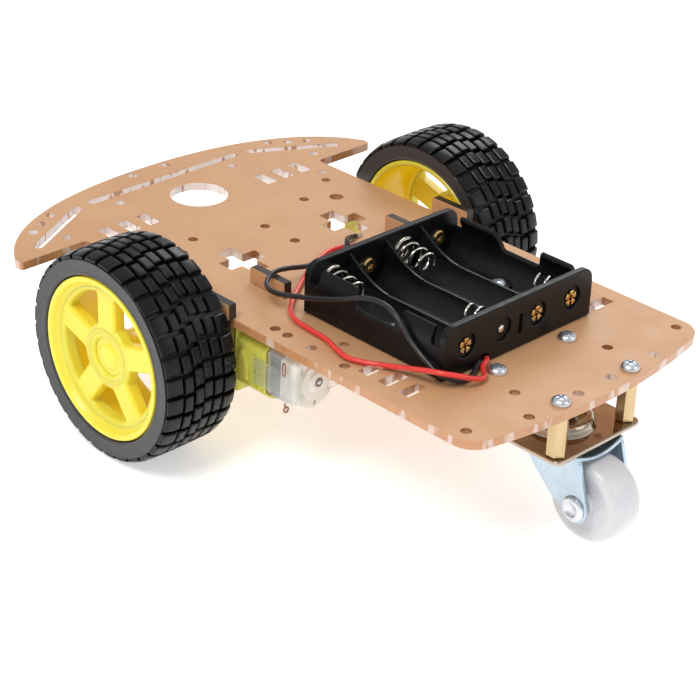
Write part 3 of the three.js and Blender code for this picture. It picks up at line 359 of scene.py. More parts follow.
def board(axis, outline, low, high, holes=(), round_low=0.2, round_high=None, steps=2, walls=(0, 0)):
    """An outline across `axis`, extruded, with rounded rims.

    `walls` are the material numbers of the outer wall and of the hole walls; a fine rim keeps the face's."""
    round_high = round_low if round_high is None else round_high
    loops = [outline if turns_left(outline) else outline[::-1]]
    loops += [hole[::-1] if turns_left(hole) else hole for hole in holes]
    levels = [(away, low + depth) for away, depth in rounding(round_low, steps)]
    levels += [(away, high - depth) for away, depth in reversed(rounding(round_high, steps))]
    points, faces, tags, caps = [], [], [], ([], [])
    for number, loop in enumerate(loops):
        start, count = len(points), len(loop)
        rings = [inset(loop, depth) if depth > 1e-6 else loop for depth, _ in levels]
        for (_, height), ring in zip(levels, rings):
            points += [(x, y, height) for x, y in ring]
        for level in range(len(levels) - 1):
            base = start + level * count
            for i in range(count):
                j = (i + 1) % count
                faces.append((base + i, base + j, base + count + j, base + count + i))
                rim = level < steps * bool(round_low) or level > len(levels) - 2 - steps * bool(round_high)
                fine = min(round_low, round_high) < FINE_RIM
                tags.append(0 if rim and fine else walls[1 if number else 0])
        caps[0].append((start, rings[0]))
        caps[1].append((start + (len(levels) - 1) * count, rings[-1]))
    for cap in caps:
        index = [start + i for start, ring in cap for i in range(len(ring))]
        flat = tessellate_polygon([[Vector((x, y, 0)) for x, y in ring] for _, ring in cap])
        for triangle in flat:
            faces.append(tuple(index[i] for i in triangle))
            tags.append(0)
    return to_mesh(points, faces, axis, tags)


def block(axis, outline, low, high):
    """A board with sharp rims, to cut or build with."""
    return board(axis, outline, low, high, round_low=0)


def turned(axis, centre, profile, sides=48, closed=False):
    """A profile of (radius, height) points turned about an axis; if open, it starts and ends on the axis."""
    p, q = centre
    points, rows = [], []
    for radius, height in profile:
        if radius < 1e-6:
            rows.append([len(points)] * sides)
            points.append((p, q, height))
            continue
        rows.append(list(range(len(points), len(points) + sides)))
        points += [(x, y, height) for x, y in circle(p, q, radius, sides)]
    faces = []
    pairs = list(zip(rows, rows[1:])) + ([(rows[-1], rows[0])] if closed else [])
    for a, b in pairs:
        for i in range(sides):
            j = (i + 1) % sides
            corners = list(dict.fromkeys((a[i], a[j], b[j], b[i])))
            if len(corners) > 2:
                faces.append(tuple(corners))
    return to_mesh(points, faces, axis)


def raised(profile, base, way=1):
    """A (radius, height) profile with its heights measured from `base`, upward or downward by `way`."""
    return [(radius, base + way * height) for radius, height in profile]


def painted(mesh, number):
    """The mesh with every face given one material number."""
    mesh.polygons.foreach_set("material_index", [number] * len(mesh.polygons))
    return mesh


def mirrored(mesh):
    """The mesh itself, carried over to the other side of the car."""
    mesh.transform(Matrix.Diagonal((1, -1, 1, 1)))
    mesh.flip_normals()
    return mesh


def sliced(bm, at, normal):
    """Cuts edges where a plane meets a mesh, so that it can bend there."""
    bmesh.ops.bisect_plane(bm, geom=bm.verts[:] + bm.edges[:] + bm.faces[:], plane_co=at, plane_no=normal)


def joined(*meshes):
    """Several closed bodies as one mesh, each keeping its own material numbers."""
    bm = bmesh.new()
    for mesh in meshes:
        bm.from_mesh(mesh)
        bpy.data.meshes.remove(mesh)
    whole = bpy.data.meshes.new("part")
    bm.to_mesh(whole)
    bm.free()
    return whole


def modified(mesh, kind, **values):
    """The mesh after one modifier with the given settings."""
    holder = added("holder", mesh)
    modifier = holder.modifiers.new(kind.lower(), kind)
    for key, value in values.items():
        setattr(modifier, key, value)
    graph = bpy.context.evaluated_depsgraph_get()
    made = bpy.data.meshes.new_from_object(holder.evaluated_get(graph))
    bpy.data.objects.remove(holder)
    bpy.data.meshes.remove(mesh)
    return made


def carved(mesh, *cutters, operation="DIFFERENCE"):
    """The mesh with each cutter taken away from it, or joined or intersected."""
    for cutter in cutters:
        tool = added("tool", cutter)
        mesh = modified(mesh, "BOOLEAN", operation=operation, object=tool, solver="EXACT")
        bpy.data.objects.remove(tool)
        bpy.data.meshes.remove(cutter)
    return mesh


def moved(mesh, x=0.0, y=0.0, z=0.0, turn=None):
    """A copy of a mesh, turned by a matrix and then moved."""
    copy = mesh.copy()
    if turn is not None:
        copy.transform(turn.to_4x4())
        if turn.determinant() < 0:
            copy.flip_normals()
    copy.transform(Matrix.Translation((x, y, z)))
    return copy


def line_curve(name, points, radius, resolution):
    """A round curve through a line of points, with closed ends."""
    data = bpy.data.curves.new(name, "CURVE")
    data.dimensions, data.bevel_depth, data.bevel_resolution = "3D", radius, resolution
    data.use_fill_caps = True
    spline = data.splines.new("POLY")
    spline.points.add(len(points) - 1)
    for target, point in zip(spline.points, points):
        target.co = (*point, 1)
    return data


def wire(points, radius, sides=8):
    """A mesh of round wire along a line of points."""
    data = line_curve("wire", points, radius, sides // 4)
    holder = added("wire", data)
    mesh = bpy.data.meshes.new_from_object(holder.evaluated_get(bpy.context.evaluated_depsgraph_get()))
    bpy.data.objects.remove(holder)
    bpy.data.curves.remove(data)
    return mesh


def place(name, mesh, finishes, slot_name, *nodes, body="chassis", side=1, angle=32):
    """Puts a finished mesh, drawn for the left side, into the scene as one piece riding on a body."""
    if side < 0:
        mirrored(mesh)
    mesh.transform(Matrix.Translation((AXLE_X, 0, 0)))
    mesh.transform(Matrix.Scale(MM, 4))
    for finish in finishes:
        mesh.materials.append(FINISH[finish])
    mesh.shade_smooth()
    mesh.set_sharp_from_angle(angle=math.radians(angle))
    mesh = modified(mesh, "WEIGHTED_NORMAL", keep_sharp=True, weight=100)
    mesh.name = name
    piece = added(name, mesh)
    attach(piece, body)
    if nodes:
        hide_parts(*nodes)
    return piece


def repaint(node, finish):
    """Gives a CAD node that stays in sight its finish."""
    mesh = frame["nodes"][node].data
    mesh.materials.clear()
    mesh.materials.append(FINISH[finish])


# ---------------------------------------------------------------- driving dimensions

SHAFT_Z = JOINT_AT["left_wheel_spin"].z
DECK_LOW, DECK_HIGH = (corner.z for corner in span("chassis_plate"))
TAIL_X, NOSE_X = (corner.x for corner in span("chassis_plate"))
TYRE_LOW, TYRE_HIGH = span("tyre_left")
WHEEL_Y = (TYRE_LOW.y + TYRE_HIGH.y) / 2
WHEEL_HALF = (TYRE_HIGH.y - TYRE_LOW.y) / 2
TYRE_RADIUS = (TYRE_HIGH.z - TYRE_LOW.z) / 2
RIM_RADIUS = (span("wheel_rim_left")[1].z - span("wheel_rim_left")[0].z) / 2
MOTOR_Y = JOINT_AT["left_rotor_spin"].y
BOX_LOW, BOX_HIGH = span("battery_box")
CASTER = JOINT_AT["caster_swivel_turn"] - Vector((AXLE_X, 0, 0))
CASTER_AXLE = JOINT_AT["caster_wheel_roll"] - Vector((AXLE_X, 0, 0))
GAP = 0.3
MOTOR_SCREW = {"x": -18.7, "rise": 8.4, "hole": 1.65}
BOX_FLOOR = 1.7


# ---------------------------------------------------------------- deck

DECK = {"tail_half": 50, "tail_radius": 206, "corner": 8, "notch_y": 48.8}
EAR = {"x": 46, "y": 75.4, "root_x": 44, "root_y": 50.2}
STEM = {"front": -13.3, "rear": -24, "bottom": 21}
HOLE_RADIUS = 1.6
CLEAR_FROM_X = 38
PAIRED_HOLES = [
    (74.7, 7.1), (59.9, 24.1), (66.7, 47.2), (63, 53), (59.7, 59), (49.6, 53), (23.2, 23.9), (35.9, 44),
    (30, 40.5), (-38.4, 44.7), (-43.7, 44.7), (-53.9, 44.7), (-58.3, 36.3), (-67.6, 44.9),
    (-109.1, 20), (-120.5, 27), (-121, 7), (-114.4, 45.3),
]
BOX_SCREW = (-64.4, 22.5)
CASTER_HOLE = {"x": 11.65, "y": 15}
CASTER_HOLES = [(CASTER.x + x * CASTER_HOLE["x"], y * CASTER_HOLE["y"]) for x in (1, -1) for y in (1, -1)]


def deck_outline():
    nose = [(NOSE_X, 0), (NOSE_X, 41.2), (65.2, 66.5), (EAR["x"], EAR["y"])]
    steps = 40
    bow = []
    for i in range(steps + 1):
        t = i / steps
        share = ((1 - t) ** 3, 3 * t * (1 - t) ** 2, 3 * t * t * (1 - t), t ** 3)
        bow.append(tuple(sum(s * p[k] for s, p in zip(share, nose)) for k in (0, 1)))
    centre = TAIL_X + DECK["tail_radius"]
    corner_y = DECK["tail_half"] - DECK["corner"]
    corner_x = centre - math.sqrt((DECK["tail_radius"] - DECK["corner"]) ** 2 - corner_y ** 2)
    tangent = math.atan2(corner_y, corner_x - centre)
    tail = arc(corner_x, corner_y, DECK["corner"], math.pi / 2, tangent, 10)
    tail += arc(centre, 0, DECK["tail_radius"], tangent, math.pi, 20)[1:-1]
    front, rear = STEM["front"] + GAP, STEM["rear"] - GAP
    sides = filleted([
        (EAR["x"] + 1, EAR["y"] - 0.4), (EAR["root_x"], EAR["y"] - 0.9), (EAR["root_x"], DECK["tail_half"]),
        (front, DECK["tail_half"]), (front, DECK["notch_y"]),
        (rear, DECK["notch_y"]), (rear, DECK["tail_half"]),
        (-40, DECK["tail_half"]),
    ], [0, 1.2, 1.5, 0.3, 0.3, 0.3, 0.3, 0], closed=False)
    half = bow[1:-1] + sides + tail
    return [bow[0]] + half + [(TAIL_X, 0)] + [(x, -y) for x, y in reversed(half)]


def deck_holes():
    def window(x, y, length_x, length_y):
        sides = rectangle(x - length_x / 2, x + length_x / 2, y - length_y / 2, y + length_y / 2)
        return filleted(sides, 0.35, 2)

    holes = [circle(48.5, 0, 9.6, 56), slot(66.2, -30.4, 66.2, 30.4, 3.2)]
    holes += [circle(x, 0, HOLE_RADIUS) for x in (15.8, 1.8)]
    arms = [(8.75, -3), (8.75, 3), (3, 3), (3, 7.3), (-3, 7.3), (-3, 3), (-8.75, 3), (-8.75, -3), (-3, -3),
            (-3, -7.3), (3, -7.3), (3, -3)]
    for side in (1, -1):
        holes += [circle(x, side * y, HOLE_RADIUS, 20) for x, y in PAIRED_HOLES]
        holes.append(circle(17.8, side * 33.4, 2.4))
        holes += [window(44, side * y, 8, 4) for y in (25.3, 33, 40.8)]
        holes += [window(x, side * 40.1, 4, 8) for x in (-73.9, -81.8, -89.7)]
        holes.append(filleted([(1.8 + x, side * (21.8 + y)) for x, y in arms], 0.3, 2))
        holes.append(slot(65, side * 37.5, 50.5, side * 63.8, 3.2))
        holes.append(window((STEM["front"] + STEM["rear"]) / 2, side * 28.8, 11.3, 3.6))
        holes.append(circle(BOX_SCREW[0], side * BOX_SCREW[1], HOLE_RADIUS, 20))
    return holes + [circle(x, y, HOLE_RADIUS, 20) for x, y in CASTER_HOLES]


def make_deck():
    mesh = board("Z", deck_outline(), DECK_LOW, DECK_HIGH, deck_holes(), round_low=0.12, walls=(1, 2))
    for face in mesh.polygons:
        if face.material_index == 2 and face.center.x > CLEAR_FROM_X:
            face.material_index = 3
    place("deck_board", mesh, ("kraft", "edge", "hole", "frosted"), "deck_board", "chassis_plate")


# ---------------------------------------------------------------- screws

def pan_head(radius, height):
    """A pan head with a cross recess, its seat at zero and its crown pointing along +Z."""
    shares = [(0, 1), (0.35, 0.99), (0.62, 0.9), (0.84, 0.7), (0.97, 0.4), (1, 0.12), (0.97, 0), (0, 0)]
    head = turned("Z", (0, 0), [(radius * across, height * up) for across, up in shares], 32)
    reach, slim, depth = radius * 0.6, radius * 0.13, height * 0.45
    bar = rectangle(-reach, reach, -slim, slim)
    crossbar = [(-y, x) for x, y in bar]
    return carved(head, *(block("Z", outline, height - depth, height + 1) for outline in (bar, crossbar)))


def thread(radius, low, high, pitch=0.5):
    """A screw thread drawn as rings: crests and roots one pitch apart."""
    profile = [(0, low), (radius * 0.8, low)]
    count = int((high - low) / pitch)
    for i in range(count):
        profile += [(radius * 0.86, low + (i + 0.15) * pitch), (radius, low + (i + 0.6) * pitch)]
    return turned("Z", (0, 0), profile + [(radius * 0.86, high), (0, high)], 16)


NUT = {"across_flats": 5, "thickness": 2.3}


def nut(bore, low):
    hexagon = circle(0, 0, NUT["across_flats"] / math.sqrt(3), 6)
    return board("Z", hexagon, low, low + NUT["thickness"], [circle(0, 0, bore, 16)], round_low=0.25)


def screw(head, head_height, shank, length, nut_from=None):
    """A cross-head screw along -Z with its seat at zero; the nut's near face is `nut_from` below the seat."""
    parts = [pan_head(head, head_height), thread(shank, -length, 0.05)]
    if nut_from is not None:
        parts.append(nut(shank, -nut_from - NUT["thickness"]))
    return joined(*parts)


OUTWARD = Matrix(((1, 0, 0), (0, 0, 1), (0, -1, 0)))


def make_screws():
    caster_screw = screw(2.9, 2, 1.1, 8)
    under_screw = moved(screw(1.55, 0.5, 1.1, 5), turn=Matrix.Diagonal((1, 1, -1)))
    box_seat = BOX_LOW.z + BOX_FLOOR
    box_screw = screw(2.7, 1.7, 1.35, 9, nut_from=box_seat - DECK_LOW + GAP)
    boards = 2 * BOARD["half"] + BOARD["outer_y"] - BOARD["inner_y"]
    motor_screw = screw(2.8, 2, 1.35, 30, nut_from=boards + 2 * GAP)
    motor_seat = BOARD["outer_y"] + BOARD["half"] + 0.02
    under_seat = span("caster_plate")[0].z + 0.55
    for side_name, side in SIDES:
        def put(name, mesh, *nodes):
            place(f"{name}_{side_name}", mesh, ("zinc",), "screw_zinc", *(f"{n}_{side_name}" for n in nodes),
                  side=side)

        for end, way in (("front", 1), ("rear", -1)):
            x, y = CASTER.x + way * CASTER_HOLE["x"], CASTER_HOLE["y"]
            put(f"deck_screw_{end}", moved(caster_screw, x, y, DECK_HIGH + 0.02), f"caster_screw_{end}")
            put(f"plate_screw_{end}", moved(under_screw, x, y, under_seat))
        put("tray_screw", moved(box_screw, *BOX_SCREW, box_seat), "box_screw")
        for row, way in (("upper", 1), ("lower", -1)):
            z = SHAFT_Z + way * MOTOR_SCREW["rise"]
            put(f"motor_screw_{row}", moved(motor_screw, MOTOR_SCREW["x"], motor_seat, z, OUTWARD),
                f"bracket_screw_{row}")


# ---------------------------------------------------------------- motor brackets

BOARD = {"half": 1.5, "outer_y": 50.6, "inner_y": 28.8, "bar_front": -11, "bar_rear": -26.3, "bar_height": 5}


def make_brackets():
    low = DECK_HIGH + 0.05
    high = low + BOARD["bar_height"]
    corners = [(BOARD["bar_rear"], low), (STEM["rear"], low), (STEM["rear"], STEM["bottom"]),
               (STEM["front"], STEM["bottom"]), (STEM["front"], low), (BOARD["bar_front"], low),
               (BOARD["bar_front"], high), (BOARD["bar_rear"], high)]
    outline = filleted(corners, [0.4, 0.2, 0.4, 0.4, 0.2, 0.4, 0.5, 0.5], 3)
    holes = [circle(MOTOR_SCREW["x"], SHAFT_Z + way * MOTOR_SCREW["rise"], MOTOR_SCREW["hole"], 20)
             for way in (1, -1)]
    for side_name, side in SIDES:
        for row in ("outer", "inner"):
            middle = BOARD[f"{row}_y"]
            mesh = board("Y", outline, middle - BOARD["half"], middle + BOARD["half"], holes, 0.12,
                         walls=(1, 1))
            place(f"{row}_bracket_{side_name}", mesh, ("kraft", "scorched"), "bracket_board",
                  f"bracket_{row}_{side_name}", side=side)


# ---------------------------------------------------------------- wheels

BLOCKS = 32
TREAD = {"lateral": 1.5, "depth": 2.0, "edge": 0.35, "chamfer": 0.34}
RIBS = [(4.9, 0, 0.95), (2.9, -0.1, 0.95), (2.9, 0.12, 0.4), (2.9, 0.3, 0.95), (2.9, 0.22, 0.95),
        (4.9, 0.12, 0)]


TREAD_FLOOR = TYRE_RADIUS - TREAD["depth"]


def crown(y):
    """Outer radius of the tread at a distance from the middle of the wheel; the shoulders fall away."""
    share = abs(y) / WHEEL_HALF
    return TYRE_RADIUS - 0.3 * share ** 2 - 0.8 * max(0.0, share - 0.86) / 0.14


def off_axis(part):
    """Distance of a face's centre from the drive axle."""
    return math.hypot(part.center.x, part.center.z - SHAFT_Z)


def tread_block(bm, start, end, low, high):
    """One block between two angles and two distances from the wheel's middle, with chamfered upper edges."""
    chamfer = TREAD["chamfer"]
    base = TREAD_FLOOR - 0.3
    turns = [start, start + chamfer / TYRE_RADIUS]
    turns += [start + (end - start) * k / 4 for k in (1, 2, 3)] + [end - chamfer / TYRE_RADIUS, end]
    rows = [low, low + chamfer, (low + high) / 2, high - chamfer, high]
    last, side = len(turns) - 1, len(rows) - 1

    def vertex(angle, y, radius):
        return bm.verts.new((radius * math.sin(angle), WHEEL_Y + y, SHAFT_Z + radius * math.cos(angle)))

    top = [[vertex(a, y, crown(y) - (chamfer if i in (0, last) or j in (0, side) else 0))
            for j, y in enumerate(rows)] for i, a in enumerate(turns)]
    bottom = [[vertex(a, y, base) for y in (low, high)] for a in turns]
    for i in range(last):
        for j in range(side):
            bm.faces.new((top[i][j], top[i + 1][j], top[i + 1][j + 1], top[i][j + 1]))
        bm.faces.new((bottom[i][0], bottom[i + 1][0], bottom[i + 1][1], bottom[i][1]))
        bm.faces.new((bottom[i][0], bottom[i + 1][0], top[i + 1][0], top[i][0]))
        bm.faces.new((bottom[i][1], bottom[i + 1][1], top[i + 1][side], top[i][side]))
    bm.faces.new((bottom[0][0], bottom[0][1], *reversed(top[0])))
    bm.faces.new((bottom[last][0], bottom[last][1], *reversed(top[last])))


def tread():
    """Six ribs of blocks, each rib with its width, its turn in pitches and the groove that follows it."""
    bm = bmesh.new()
    pitch, gap = TURN / BLOCKS, TREAD["lateral"] / TYRE_RADIUS
    high = WHEEL_HALF - TREAD["edge"]
    for width, offset, groove in RIBS:
        for number in range(BLOCKS):
            start = (number + offset) * pitch + gap / 2
            tread_block(bm, start, start + pitch - gap, high - width, high)
        high -= width + groove
    bmesh.ops.recalc_face_normals(bm, faces=bm.faces)
    mesh = bpy.data.meshes.new("tread")
    bm.to_mesh(mesh)
    bm.free()
    return mesh


def carcass():
    """The tyre without its blocks: both sidewalls and the floor of the grooves."""
    inner, half = RIM_RADIUS + 0.2, WHEEL_HALF
    steps = [(0, 1.6), (0.25, 0.5), (0.9, 0.15), (1.5, 0.3), (2.4, 0.12), (4.2, 0.1), (4.5, 0), (5, 0),
             (5.2, 0.25)]
    outboard = [(inner + out, half - depth) for out, depth in steps] + [(TREAD_FLOOR, half - 0.5)]
    inboard = [(radius, -width) for radius, width in reversed(outboard)]
    mesh = turned("Y", (0, SHAFT_Z), raised(outboard + inboard, WHEEL_Y), 128, closed=True)
    for part in mesh.polygons:
        part.material_index = int(off_axis(part) < TREAD_FLOOR - 0.2)
    return mesh


SPOKES = [TURN * (k + 0.25) / 5 for k in range(5)]
WEB = {"low": 5.8, "high": 10.3, "hub": 10.4, "barrel": 22.9, "window": 20.4, "half": 3.95}


def rim_window(first, second):
    """The opening between two spokes, as an outline about the wheel's centre in the (x, z) plane."""
    def on_edge(heading, radius, way):
        along, aside = math.sqrt(radius ** 2 - WEB["half"] ** 2), way * WEB["half"]
        c, s = math.cos(heading), math.sin(heading)
        return (along * c - aside * s, along * s + aside * c)

    inner, outer = WEB["hub"], WEB["window"]
    corners = [on_edge(first, inner, 1), on_edge(first, outer, 1), on_edge(second, outer, -1),
               on_edge(second, inner, -1)]
    angles = [math.atan2(y, x) for x, y in corners]
    sweep_out = (angles[2] - angles[1]) % TURN
    sweep_in = (angles[3] - angles[0]) % TURN
    far = arc(0, 0, outer, angles[1], angles[1] + sweep_out, 8)[1:-1]
    near = arc(0, 0, inner, angles[0] + sweep_in, angles[0], 4)[1:-1]
    loop = [corners[0], corners[1], *far, corners[2], corners[3], *near]
    radii = [3.2, 2.8] + [0] * len(far) + [2.8, 3.2] + [0] * len(near)
    return [(x, SHAFT_Z + z) for x, z in filleted(loop, radii, 6)]


def rim():
    face, back = WHEEL_Y + WHEEL_HALF - 0.25, WHEEL_Y - WHEEL_HALF + 0.6
    top, under, inside = WHEEL_Y + WEB["high"], WHEEL_Y + WEB["low"], WEB["barrel"]
    lip = [(0, 0.8), (0.25, 0.2), (0.9, 0), (1.5, 0.1), (1.9, 0.45), (2.2, 1.1), (2.7, 1.9)]
    shelf_top = [(0.9, -0.1), (1.7, -0.35), (2, -1)]
    shelf_foot = [(2, 0.4), (1.7, -0.2), (0.9, -0.5), (0.2, -1.4)]
    barrel = [(RIM_RADIUS, back + 0.4), *((RIM_RADIUS - inward, face - depth) for inward, depth in lip),
              *((inside - inward, top + rise) for inward, rise in shelf_top),
              *((inside - inward, under + rise) for inward, rise in shelf_foot),
              (inside, back + 3), (inside + 0.9, back + 0.5), (inside + 1.6, back), (RIM_RADIUS - 0.4, back)]
    windows = [rim_window(a, b) for a, b in zip(SPOKES, SPOKES[1:] + SPOKES[:1])]
    web = board("Y", circle(0, SHAFT_Z, inside + 0.3, 96), under, top, windows + [circle(0, SHAFT_Z, 6, 40)],
                round_low=0.8, round_high=1.3, steps=5)
    hub = [(3.2, back), (5.2, back), (5.4, back + 0.4), (5.6, WHEEL_Y + 1)]
    hub += raised([(8.6, -0.6), (9.2, 1)], under)
    hub += raised([(9.6, -1), (9.2, -0.1), (8.6, 0.25), (7.9, 0.2), (7.3, -0.2)], top)
    hub += raised([(6.8, 0.35), (6, 0.05), (4.7, 0), (4.1, 0.15), (3.7, 0.6), (3.1, 1), (1.6, 1.2), (0, 1.25),
                   (0, -1), (3.2, -1.4)], top - 1.3)
    mesh = joined(turned("Y", (0, SHAFT_Z), barrel, 128, closed=True), web,
                  turned("Y", (0, SHAFT_Z), hub, 64, closed=True))
    # Faces inside the barrel, behind the web, take the second finish: the painted shade and painted glow.
    for part in mesh.polygons:
        behind = back + 1 < part.center.y < under - 0.1
        part.material_index = int(behind and off_axis(part) < RIM_RADIUS - 1)
    return mesh


def make_wheels():
    for side_name, side in SIDES:
        body = f"{side_name}_wheel"
        place(f"{side_name}_tyre", joined(tread(), carcass()), ("tyre", "sidewall"), "tyre_rubber",
              f"tyre_{side_name}", body=body, side=side, angle=28)
        place(f"{side_name}_rim", rim(), ("yellow", "painted_glow_yellow"), "rim_plastic", f"wheel_rim_{side_name}",
              body=body, side=side, angle=40)


# ---------------------------------------------------------------- geared motors

CASE = {"front": 11.2, "rear": -26, "holder_rear": -38, "half_width": 9.1, "half_height": 11, "wall": 1.5}
CAN = {"radius": 10, "half_across": 7.5, "front": -27, "rear": -44}
CAP_REAR = -50.4


def case_half(way):
    """One half of the gearbox shell: `way` is +1 for the outboard cover and -1 for the inboard case."""
    wall, half = CASE["wall"], CASE["half_width"]
    rear, front = CASE["rear"], CASE["front"]
    low, high = SHAFT_Z - CASE["half_height"], SHAFT_Z + CASE["half_height"]
    side = filleted(rectangle(rear, front, low, high), [0.3, 2.4, 2.4, 0.3], 5)
    solid = board("Y", side, MOTOR_Y - half, MOTOR_Y + half, round_low=0.9, steps=3)
    holder = board("X", double_d(MOTOR_Y, SHAFT_Z, 11, 8.7), CASE["holder_rear"], rear + 1, round_low=0.3)
    nib_side = filleted(rectangle(front - 1, front + 4.8, SHAFT_Z - 2.5, SHAFT_Z + 2.5), [0, 2, 2, 0])
    nib_hole = circle(front + 2.6, SHAFT_Z, 1.3)
    nib = board("Y", nib_side, MOTOR_Y - 1.5, MOTOR_Y + 1.5, [nib_hole], round_low=0.3)
    solid = carved(solid, holder, nib, operation="UNION")
    room = block("Y", rectangle(rear + wall, front - wall, low + wall, high - wall), MOTOR_Y - half + wall,
                 MOTOR_Y + half - wall)
    bore = block("X", double_d(MOTOR_Y, SHAFT_Z, 10.3, 7.8), CASE["holder_rear"] - 1, rear - 0.3)
    nose = block("X", circle(MOTOR_Y, SHAFT_Z, 3.6), rear - 1, rear + wall + 1)
    shaft = block("Y", circle(0, SHAFT_Z, 3.1), MOTOR_Y - 15, MOTOR_Y + 15)
    solid = carved(solid, room, bore, nose, shaft)

    def rods(radius, reach):
        return [block("Y", circle(MOTOR_SCREW["x"], SHAFT_Z + row * MOTOR_SCREW["rise"], radius),
                      MOTOR_Y - reach, MOTOR_Y + reach) for row in (1, -1)]

    solid = carved(solid, *rods(2.6, half - 1), operation="UNION")
    other = block("Y", rectangle(-60, 30, 0, 60), *sorted((MOTOR_Y - way * 20, MOTOR_Y + way * 0.06)))
    return carved(solid, *rods(MOTOR_SCREW["hole"], 20), other)


def latch():
    """The tongue moulded on the outboard face of the holder, and the rib behind it."""
    face = MOTOR_Y + 8.7
    tongue = [(-31.4, 28.2), (-27.6, 28.2), (-27, 33), (-28.2, 37.5), (-29.6, 37.5), (-31.4, 33)]
    rib = filleted(rectangle(-34.1, -33.2, 28.7, 37), 0.3)
    return joined(board("Y", filleted(tongue, 0.5), face - 0.3, face + 1.1, round_low=0, round_high=0.4),
                  board("Y", rib, face - 0.3, face + 0.6, round_low=0, round_high=0.2))


def on_motor(profile, base, sides, closed=False):
    """A profile turned about the motor's axis, its heights measured forward from `base`."""
    return turned("X", (MOTOR_Y, SHAFT_Z), raised(profile, base), sides, closed=closed)


def can():
    shell = board("X", double_d(MOTOR_Y, SHAFT_Z, CAN["radius"], CAN["half_across"], 24), CAN["rear"],
                  CAN["front"], round_low=0.15, round_high=1.0, steps=4)
    nose = [(1.3, -0.6), (3, -0.6), (3, 1.2), (2.6, 1.6), (1.3, 1.6)]
    return joined(shell, on_motor(nose, CAN["front"], 32, closed=True))


def end_cap():
    radius, flat = CAN["radius"], CAN["half_across"]
    shell = board("X", double_d(MOTOR_Y, SHAFT_Z, radius, flat, 24), CAP_REAR, CAN["rear"] - 0.1,
                  round_low=2.2, round_high=0.15, steps=6)
    rings = [(1.3, 1), (5.9, 1), (5.9, -0.1), (5.6, -0.5), (3.4, -0.7), (3.1, -1.3), (2.6, -1.6), (1.5, -1.6),
             (1.3, -1.3)]
    bush = [(0, -0.6), (1.35, -0.6), (1.45, -1.72), (1.2, -1.85), (0.85, -1.85), (0.8, -1.5), (0, -1.5)]
    pin = [(0, 0), (0.7, 0), (0.7, -1.8), (0.5, -2), (0, -2)]
    vents = [filleted(rectangle(MOTOR_Y - 0.5, MOTOR_Y + 0.5, SHAFT_Z + s * 6.6, SHAFT_Z + s * 8.2), 0.3)
             for s in (1, -1)]
    shell = carved(shell, *(block("X", vent, CAP_REAR - 1, CAP_REAR + 0.6) for vent in vents))
    return joined(shell, on_motor(rings, CAP_REAR, 40, closed=True), painted(on_motor(bush, CAP_REAR, 32), 1),
                  painted(on_motor(pin, CAP_REAR, 20), 2))


def strap():
    """The clear band that wraps the motor from its end cap to the holder."""
    inner, thick, half = 9, 0.7, 4.2
    rear, front = CAP_REAR - GAP, -33.6

    def bracket(growth):
        return [(front, MOTOR_Y + inner + growth), (rear - growth, MOTOR_Y + inner + growth),
                (rear - growth, MOTOR_Y - inner - growth), (front, MOTOR_Y - inner - growth)]

    outline = filleted(bracket(thick) + bracket(0)[::-1], [0.3, 2.4, 2.4, 0.3, 0.3, 1.7, 1.7, 0.3], 6)
    band = board("Z", outline, SHAFT_Z - half, SHAFT_Z + half, round_low=0.15)
    boss = block("X", circle(MOTOR_Y, SHAFT_Z, 6.1), rear - 2, rear + 1)
    gap = block("Y", filleted(rectangle(-48.2, -44.6, SHAFT_Z + 2.2, SHAFT_Z + 9), 0.4),
                MOTOR_Y + inner - 1, MOTOR_Y + inner + 2)
    return carved(band, boss, gap)


def terminals():
    """The bent copper tab beside the end cap, and the small ring below it."""
    face = MOTOR_Y + CAN["half_across"] + GAP
    out = face + 1.3
    x, low, bend = -46.8, SHAFT_Z + 3, SHAFT_Z + 6.6
    turns = [math.pi * (1 - k / 6) for k in range(7)]
    top = [(x + 0.55 * math.cos(a), out, bend + 0.6 * math.sin(a)) for a in turns]
    arch = [(x - 0.55, out, low), *top, (x + 0.55, out, low), (x + 0.55, face + 0.2, low - 0.3)]
    x, ring_y, ring_z = -46.4, MOTOR_Y + 7.6, SHAFT_Z - 8.8
    ring = [(x, y, z) for z, y in arc(ring_z, ring_y, 0.85, 0, TURN, 20)]
    stem = [(x, face + GAP, ring_z + 0.7), (x, face + GAP, ring_z + 2.2)]
    return wire(arch, 0.22), joined(wire(ring, 0.3), wire(stem, 0.3))


def make_motors():
    for side_name, side in SIDES:
        upper, lower = terminals()
        for name, mesh, finishes, slot_name, node in (
                ("cover", joined(case_half(1), latch()), ("lemon",), "gearbox_plastic", "gearbox_cover"),
                ("case", case_half(-1), ("lemon",), "gearbox_plastic", "gearbox_case"),
                ("can", can(), ("can",), "motor_steel", "motor_can"),
                ("end_cap", end_cap(), ("milky", "bush", "zinc"), "end_cap_plastic", "motor_end_cap"),
                ("strap", strap(), ("clear",), "strap_clear", "motor_strap"),
                ("side_terminal", upper, ("copper",), "terminal_copper", "motor_terminal_side"),
                ("lower_terminal", lower, ("copper",), "terminal_copper", "motor_terminal_lower")):
            place(f"{name}_{side_name}", mesh, finishes, slot_name, f"{node}_{side_name}", side=side)
        for node in ("output_gear", "reduction_gear", "crown_gear"):
            repaint(f"{node}_{side_name}", "nylon")
        repaint(f"motor_rotor_{side_name}", "can")


# ---------------------------------------------------------------- battery box

PITCH = 15
BAYS = [PITCH * k for k in (1.5, 0.5, -0.5, -1.5)]
WALL, SKIN = 2.2, 0.8
CELL_Z = BOX_LOW.z + 8.6
CELL_RADIUS = 7.3
CONTACT_Z = BOX_LOW.z + 8.3
RIDGE = 6.9
LIP = {"outer": 9.1, "inner": 7.6, "angle": 0.72, "notch": 0.11, "start": 3.4}
FRONT_X, REAR_X = BOX_HIGH.x, BOX_LOW.x


